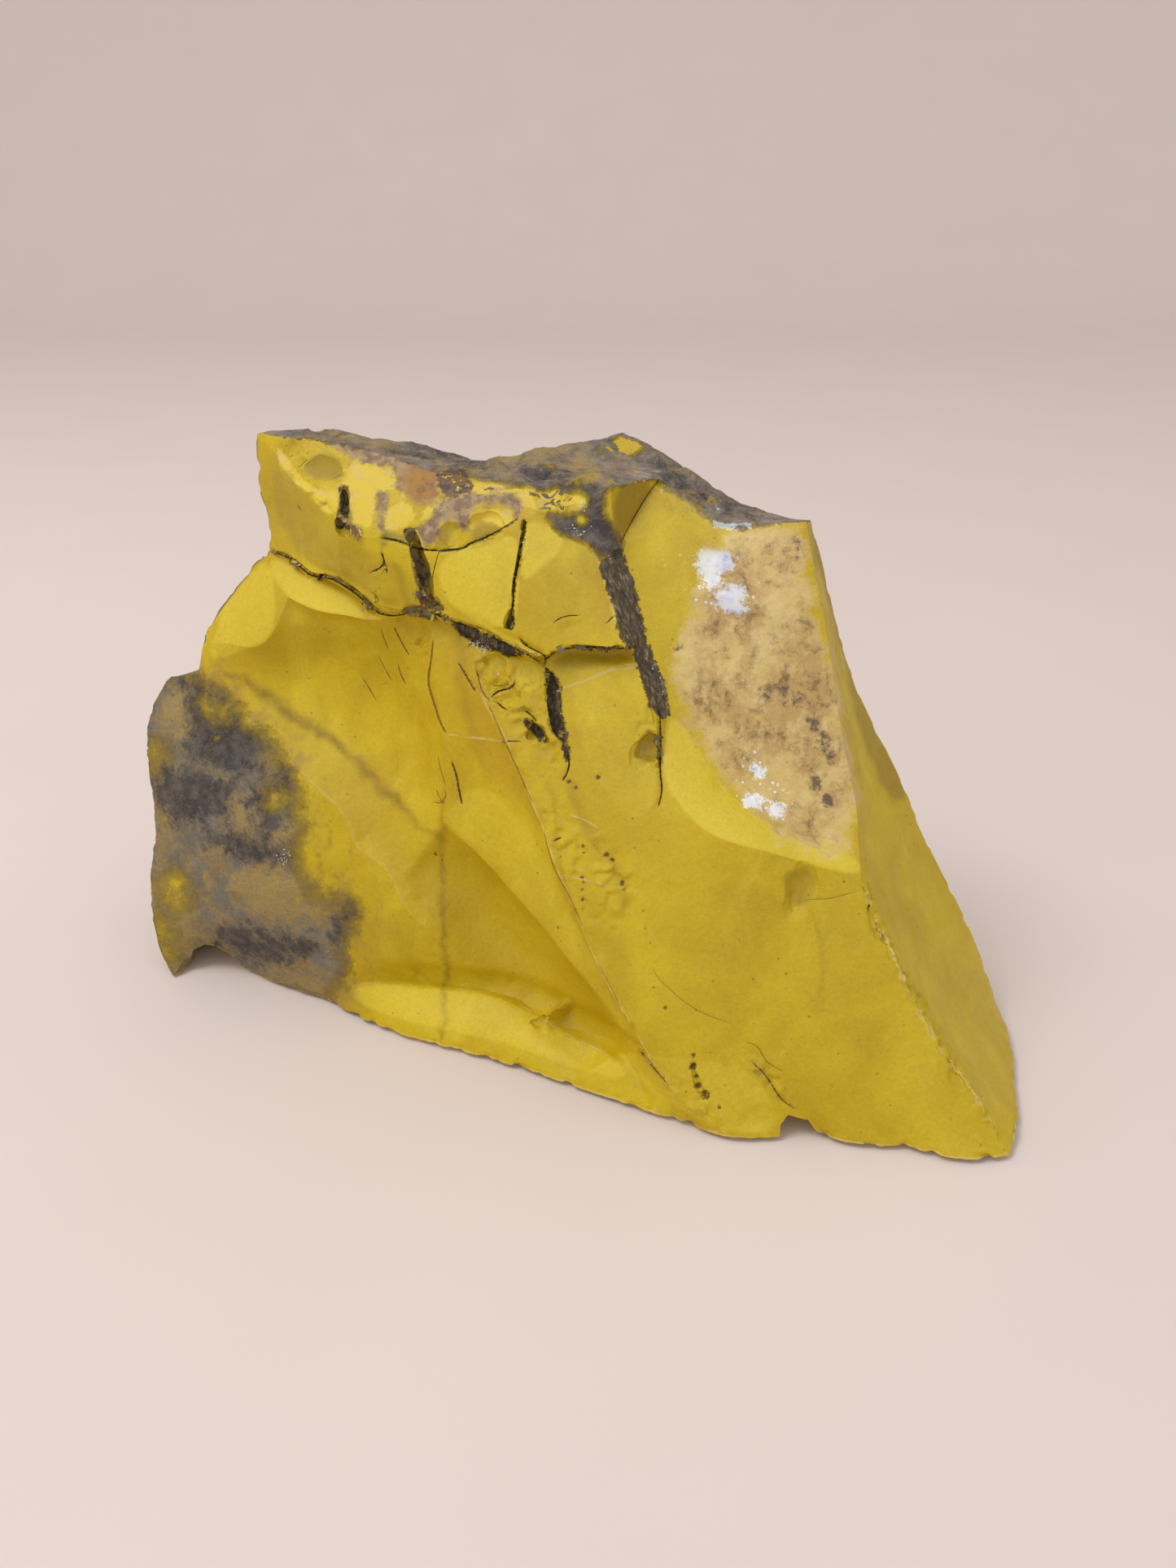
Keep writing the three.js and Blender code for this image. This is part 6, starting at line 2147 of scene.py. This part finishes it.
@dataclass(frozen=True)
class QuartzDruse:
    """Tiny six-sided quartz crystals that line the cracks and dust the crust."""

    radius: float = 0.13
    height: float = 0.3
    root: float = 0.16
    sides: int = 6
    merge: float = 0.001
    to_square_mm: float = 7.0
    least_sparkle: float = 0.02
    least: float = 0.35
    tilt: float = 0.7
    seed: int = 11

    def build(self, stone: bpy.types.Object, quartz: bpy.types.Material) -> bpy.types.Object:
        """Grows the crystals where the stone's sparkle field is above zero.

        Args:
            stone: the finished stone.
            quartz: the crystals' material.

        Returns:
            The crystals as one plain mesh object.
        """
        bed = self._bed(stone)
        tree = self._tree()
        modifier = bed.modifiers.new("druse", "NODES")
        modifier.node_group = tree
        values = {
            "Crystal radius": self.radius * MM,
            "Crystal height": self.height * MM,
            "Root depth": self.root * MM,
            "Crystals to a square metre": self.to_square_mm / MM**2,
            "Smallest share": self.least,
            "Tilt": self.tilt,
            "Seed": self.seed,
            "Quartz": quartz,
        }
        for item in tree.interface.items_tree:
            if item.in_out == "INPUT" and item.name in values:
                modifier[item.identifier] = values[item.name]
        grown = bed.evaluated_get(bpy.context.evaluated_depsgraph_get())
        mesh = bpy.data.meshes.new_from_object(grown)
        bed.modifiers.remove(modifier)
        bpy.data.objects.remove(bed)
        mesh.name = "quartz_druse"
        druse = bpy.data.objects.new("quartz_druse", mesh)
        bpy.context.scene.collection.objects.link(druse)
        return druse

    def _bed(self, stone: bpy.types.Object) -> bpy.types.Object:
        """Copies the part of the stone's skin that crystals grow on.

        Args:
            stone: the finished stone.

        Returns:
            The part as an object of its own.
        """
        mesh = stone.data
        count = len(mesh.vertices)
        sparkle = np.empty(count, np.float32)
        mesh.attributes["sparkle"].data.foreach_get("value", sparkle)
        corners = np.empty(len(mesh.polygons) * 3, np.int32)
        mesh.polygons.foreach_get("vertices", corners)
        points = np.empty(count * 3, np.float32)
        mesh.vertices.foreach_get("co", points)
        triangles = corners.reshape(-1, 3)
        triangles = triangles[sparkle[triangles].min(axis=1) > self.least_sparkle]
        used, renamed = np.unique(triangles, return_inverse=True)
        part = bpy.data.meshes.new("quartz_bed")
        part.from_pydata(points.reshape(-1, 3)[used].tolist(), [], renamed.reshape(-1, 3).tolist())
        part.attributes.new("sparkle", "FLOAT", "POINT").data.foreach_set("value", sparkle[used])
        bed = bpy.data.objects.new("quartz_bed", part)
        bpy.context.scene.collection.objects.link(bed)
        return bed

    def _tree(self) -> bpy.types.NodeTree:
        """Builds the tree that scatters crystals on the bed.

        Returns:
            The tree, with its sizes as named inputs.
        """
        tree = bpy.data.node_groups.new("quartz_druse", "GeometryNodeTree")
        sockets = {"Geometry": "Geometry", "Crystal radius": "Float", "Crystal height": "Float",
                   "Root depth": "Float", "Crystals to a square metre": "Float", "Smallest share": "Float",
                   "Tilt": "Float", "Seed": "Int", "Quartz": "Material"}
        for name, kind in sockets.items():
            tree.interface.new_socket(name, in_out="INPUT", socket_type=f"NodeSocket{kind}")
        tree.interface.new_socket("Geometry", in_out="OUTPUT", socket_type="NodeSocketGeometry")
        w = Wiring(tree)
        given = w.add("NodeGroupInput", {})
        sparkle = w.add("GeometryNodeInputNamedAttribute", {"Name": "sparkle"}, data_type="FLOAT")
        density = w.add("ShaderNodeMath", {
            0: sparkle["Attribute"], 1: given["Crystals to a square metre"]}, operation="MULTIPLY")
        scatter = w.add("GeometryNodeDistributePointsOnFaces", {
            "Mesh": given["Geometry"], "Density": density[0], "Seed": given["Seed"]})

        both_ends = tree.nodes.new("GeometryNodeJoinGeometry")
        for depth, turn in (("Crystal height", 0.0), ("Root depth", math.pi)):
            cone = w.add("GeometryNodeMeshCone", {
                "Vertices": self.sides, "Radius Top": 0.0, "Radius Bottom": given["Crystal radius"],
                "Depth": given[depth]}, fill_type="NONE")["Mesh"]
            turned = w.add("GeometryNodeTransform", {"Geometry": cone, "Rotation": (turn, 0.0, 0.0)})
            w.give(both_ends.inputs["Geometry"], turned["Geometry"])
        crystal = w.add("GeometryNodeMergeByDistance", {
            "Geometry": both_ends.outputs["Geometry"], "Distance": self.merge * MM})["Geometry"]

        opposite = w.add("ShaderNodeMath", {0: given["Tilt"], 1: -1.0}, operation="MULTIPLY")[0]
        lean = w.add("FunctionNodeRandomValue", {
            "Min": opposite, "Max": given["Tilt"], "Seed": given["Seed"]}, data_type="FLOAT_VECTOR")["Value"]
        lean = w.add("FunctionNodeEulerToRotation", {"Euler": lean})["Rotation"]
        stance = w.add("FunctionNodeRotateRotation", {
            "Rotation": scatter["Rotation"], "Rotate By": lean}, rotation_space="LOCAL")["Rotation"]
        share = w.add("FunctionNodeRandomValue", {
            2: given["Smallest share"], 3: 1.0, "Seed": given["Seed"]}, data_type="FLOAT")[1]

        grown = w.add("GeometryNodeInstanceOnPoints", {
            "Points": scatter["Points"], "Instance": crystal, "Rotation": stance, "Scale": share})
        real = w.add("GeometryNodeRealizeInstances", {"Geometry": grown["Instances"]})
        dressed = w.add("GeometryNodeSetMaterial", {
            "Geometry": real["Geometry"], "Material": given["Quartz"]})
        w.add("NodeGroupOutput", {"Geometry": dressed["Geometry"]})
        return tree


# ---- Studio ----


@dataclass(frozen=True)
class Softbox:
    """One soft light: where it stands, its size in metres, its power and what it is aimed at."""

    name: str
    place: tuple[float, float, float]
    size: tuple[float, float]
    watts: float
    aim: tuple[float, float, float] = (0.0, 0.0, 0.05)
    tint: Colour = (1.0, 1.0, 1.0)
    only_reflected: bool = False

    def build(self) -> bpy.types.Object:
        """Makes the light and turns it to its aim; one may be seen only as a reflection.

        Returns:
            The light's object.
        """
        data = bpy.data.lights.new(self.name, "AREA")
        data.shape = "RECTANGLE"
        data.size, data.size_y = self.size
        data.energy = self.watts
        data.color = self.tint
        lamp = bpy.data.objects.new(self.name, data)
        lamp.location = self.place
        lamp.visible_diffuse = not self.only_reflected
        lamp.rotation_euler = (Vector(self.aim) - Vector(self.place)).to_track_quat("-Z", "Y").to_euler()
        bpy.context.scene.collection.objects.link(lamp)
        return lamp


@dataclass(frozen=True)
class Studio:
    """A pale paper sweep and plain soft light."""

    boxes: tuple[Softbox, ...] = (
        Softbox("key", (-0.5, -0.2, 0.9), (0.4, 0.4), 4.1),
        Softbox("window", (0.08, -0.6, 0.86), (0.22, 0.46), 3.4, (0.02, -0.01, 0.08), (0.26, 0.54, 1.0),
                only_reflected=True),
        Softbox("skylight", (0.1, 0.12, 1.1), (0.4, 0.4), 4.4, (0.02, 0.0, 0.08), (0.55, 0.78, 1.0),
                only_reflected=True),
        Softbox("low_window", (0.06, -1.0, 0.42), (0.3, 0.22), 2.4, (0.03, -0.02, 0.06), (0.3, 0.56, 1.0),
                only_reflected=True),
    )
    air: Colour = linear(255, 254, 254)
    air_strength: float = 0.76
    sweep_half_width: float = 3.0
    front: float = -1.5
    back: float = 1.1
    bend: float = 0.6
    bend_steps: int = 16
    height: float = 2.4

    def build(self) -> bpy.types.Object:
        """Makes the sweep, the lights and the air's glow.

        Returns:
            The paper sweep.
        """
        for box in self.boxes:
            box.build()
        world = bpy.data.worlds.new("studio_air")
        world.use_nodes = True
        glow = world.node_tree.nodes["Background"]
        glow.inputs["Color"].default_value = (*self.air, 1.0)
        glow.inputs["Strength"].default_value = self.air_strength
        bpy.context.scene.world = world
        bpy.context.scene.view_settings.view_transform = "Standard"
        return self._sweep()

    def _sweep(self) -> bpy.types.Object:
        """Makes the paper: flat under the stone and bent up behind it.

        Returns:
            The sweep's object.
        """
        profile = [(self.front, 0.0), (self.back, 0.0)]
        for step in range(1, self.bend_steps + 1):
            turn = math.pi / 2 * step / self.bend_steps
            profile.append((self.back + self.bend * math.sin(turn), self.bend * (1 - math.cos(turn))))
        profile.append((self.back + self.bend, self.height))
        points = [(side * self.sweep_half_width, y, z) for y, z in profile for side in (-1, 1)]
        faces = [(2 * k, 2 * k + 1, 2 * k + 3, 2 * k + 2) for k in range(len(profile) - 1)]
        mesh = bpy.data.meshes.new("paper_sweep")
        mesh.from_pydata(points, [], faces)
        mesh.polygons.foreach_set("use_smooth", [True] * len(faces))
        mesh.materials.append(FloorFinish().build())
        sweep = bpy.data.objects.new("paper_sweep", mesh)
        bpy.context.scene.collection.objects.link(sweep)
        return sweep


def main() -> None:
    """Builds the camera, the studio and the stone, and reports each."""
    logging.basicConfig(level=logging.INFO, format="%(name)s: %(message)s")
    sight = Sight()
    sight.build_camera()
    LOG.info("camera placed")
    Studio().build()
    LOG.info("studio built")
    stone = Stone(sight, FrontMarks(MARKS, SPOTS, DROPS)).build(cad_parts["mookaite"])
    stone.data.materials.append(JasperFinish().build())
    druse = QuartzDruse().build(stone, QuartzFinish().build())
    for piece in (stone, druse):
        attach(piece, "root")
        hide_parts("mookaite")
        LOG.info("%s built: %d faces", piece.name, len(piece.data.polygons))


if __name__ == "__main__":
    main()
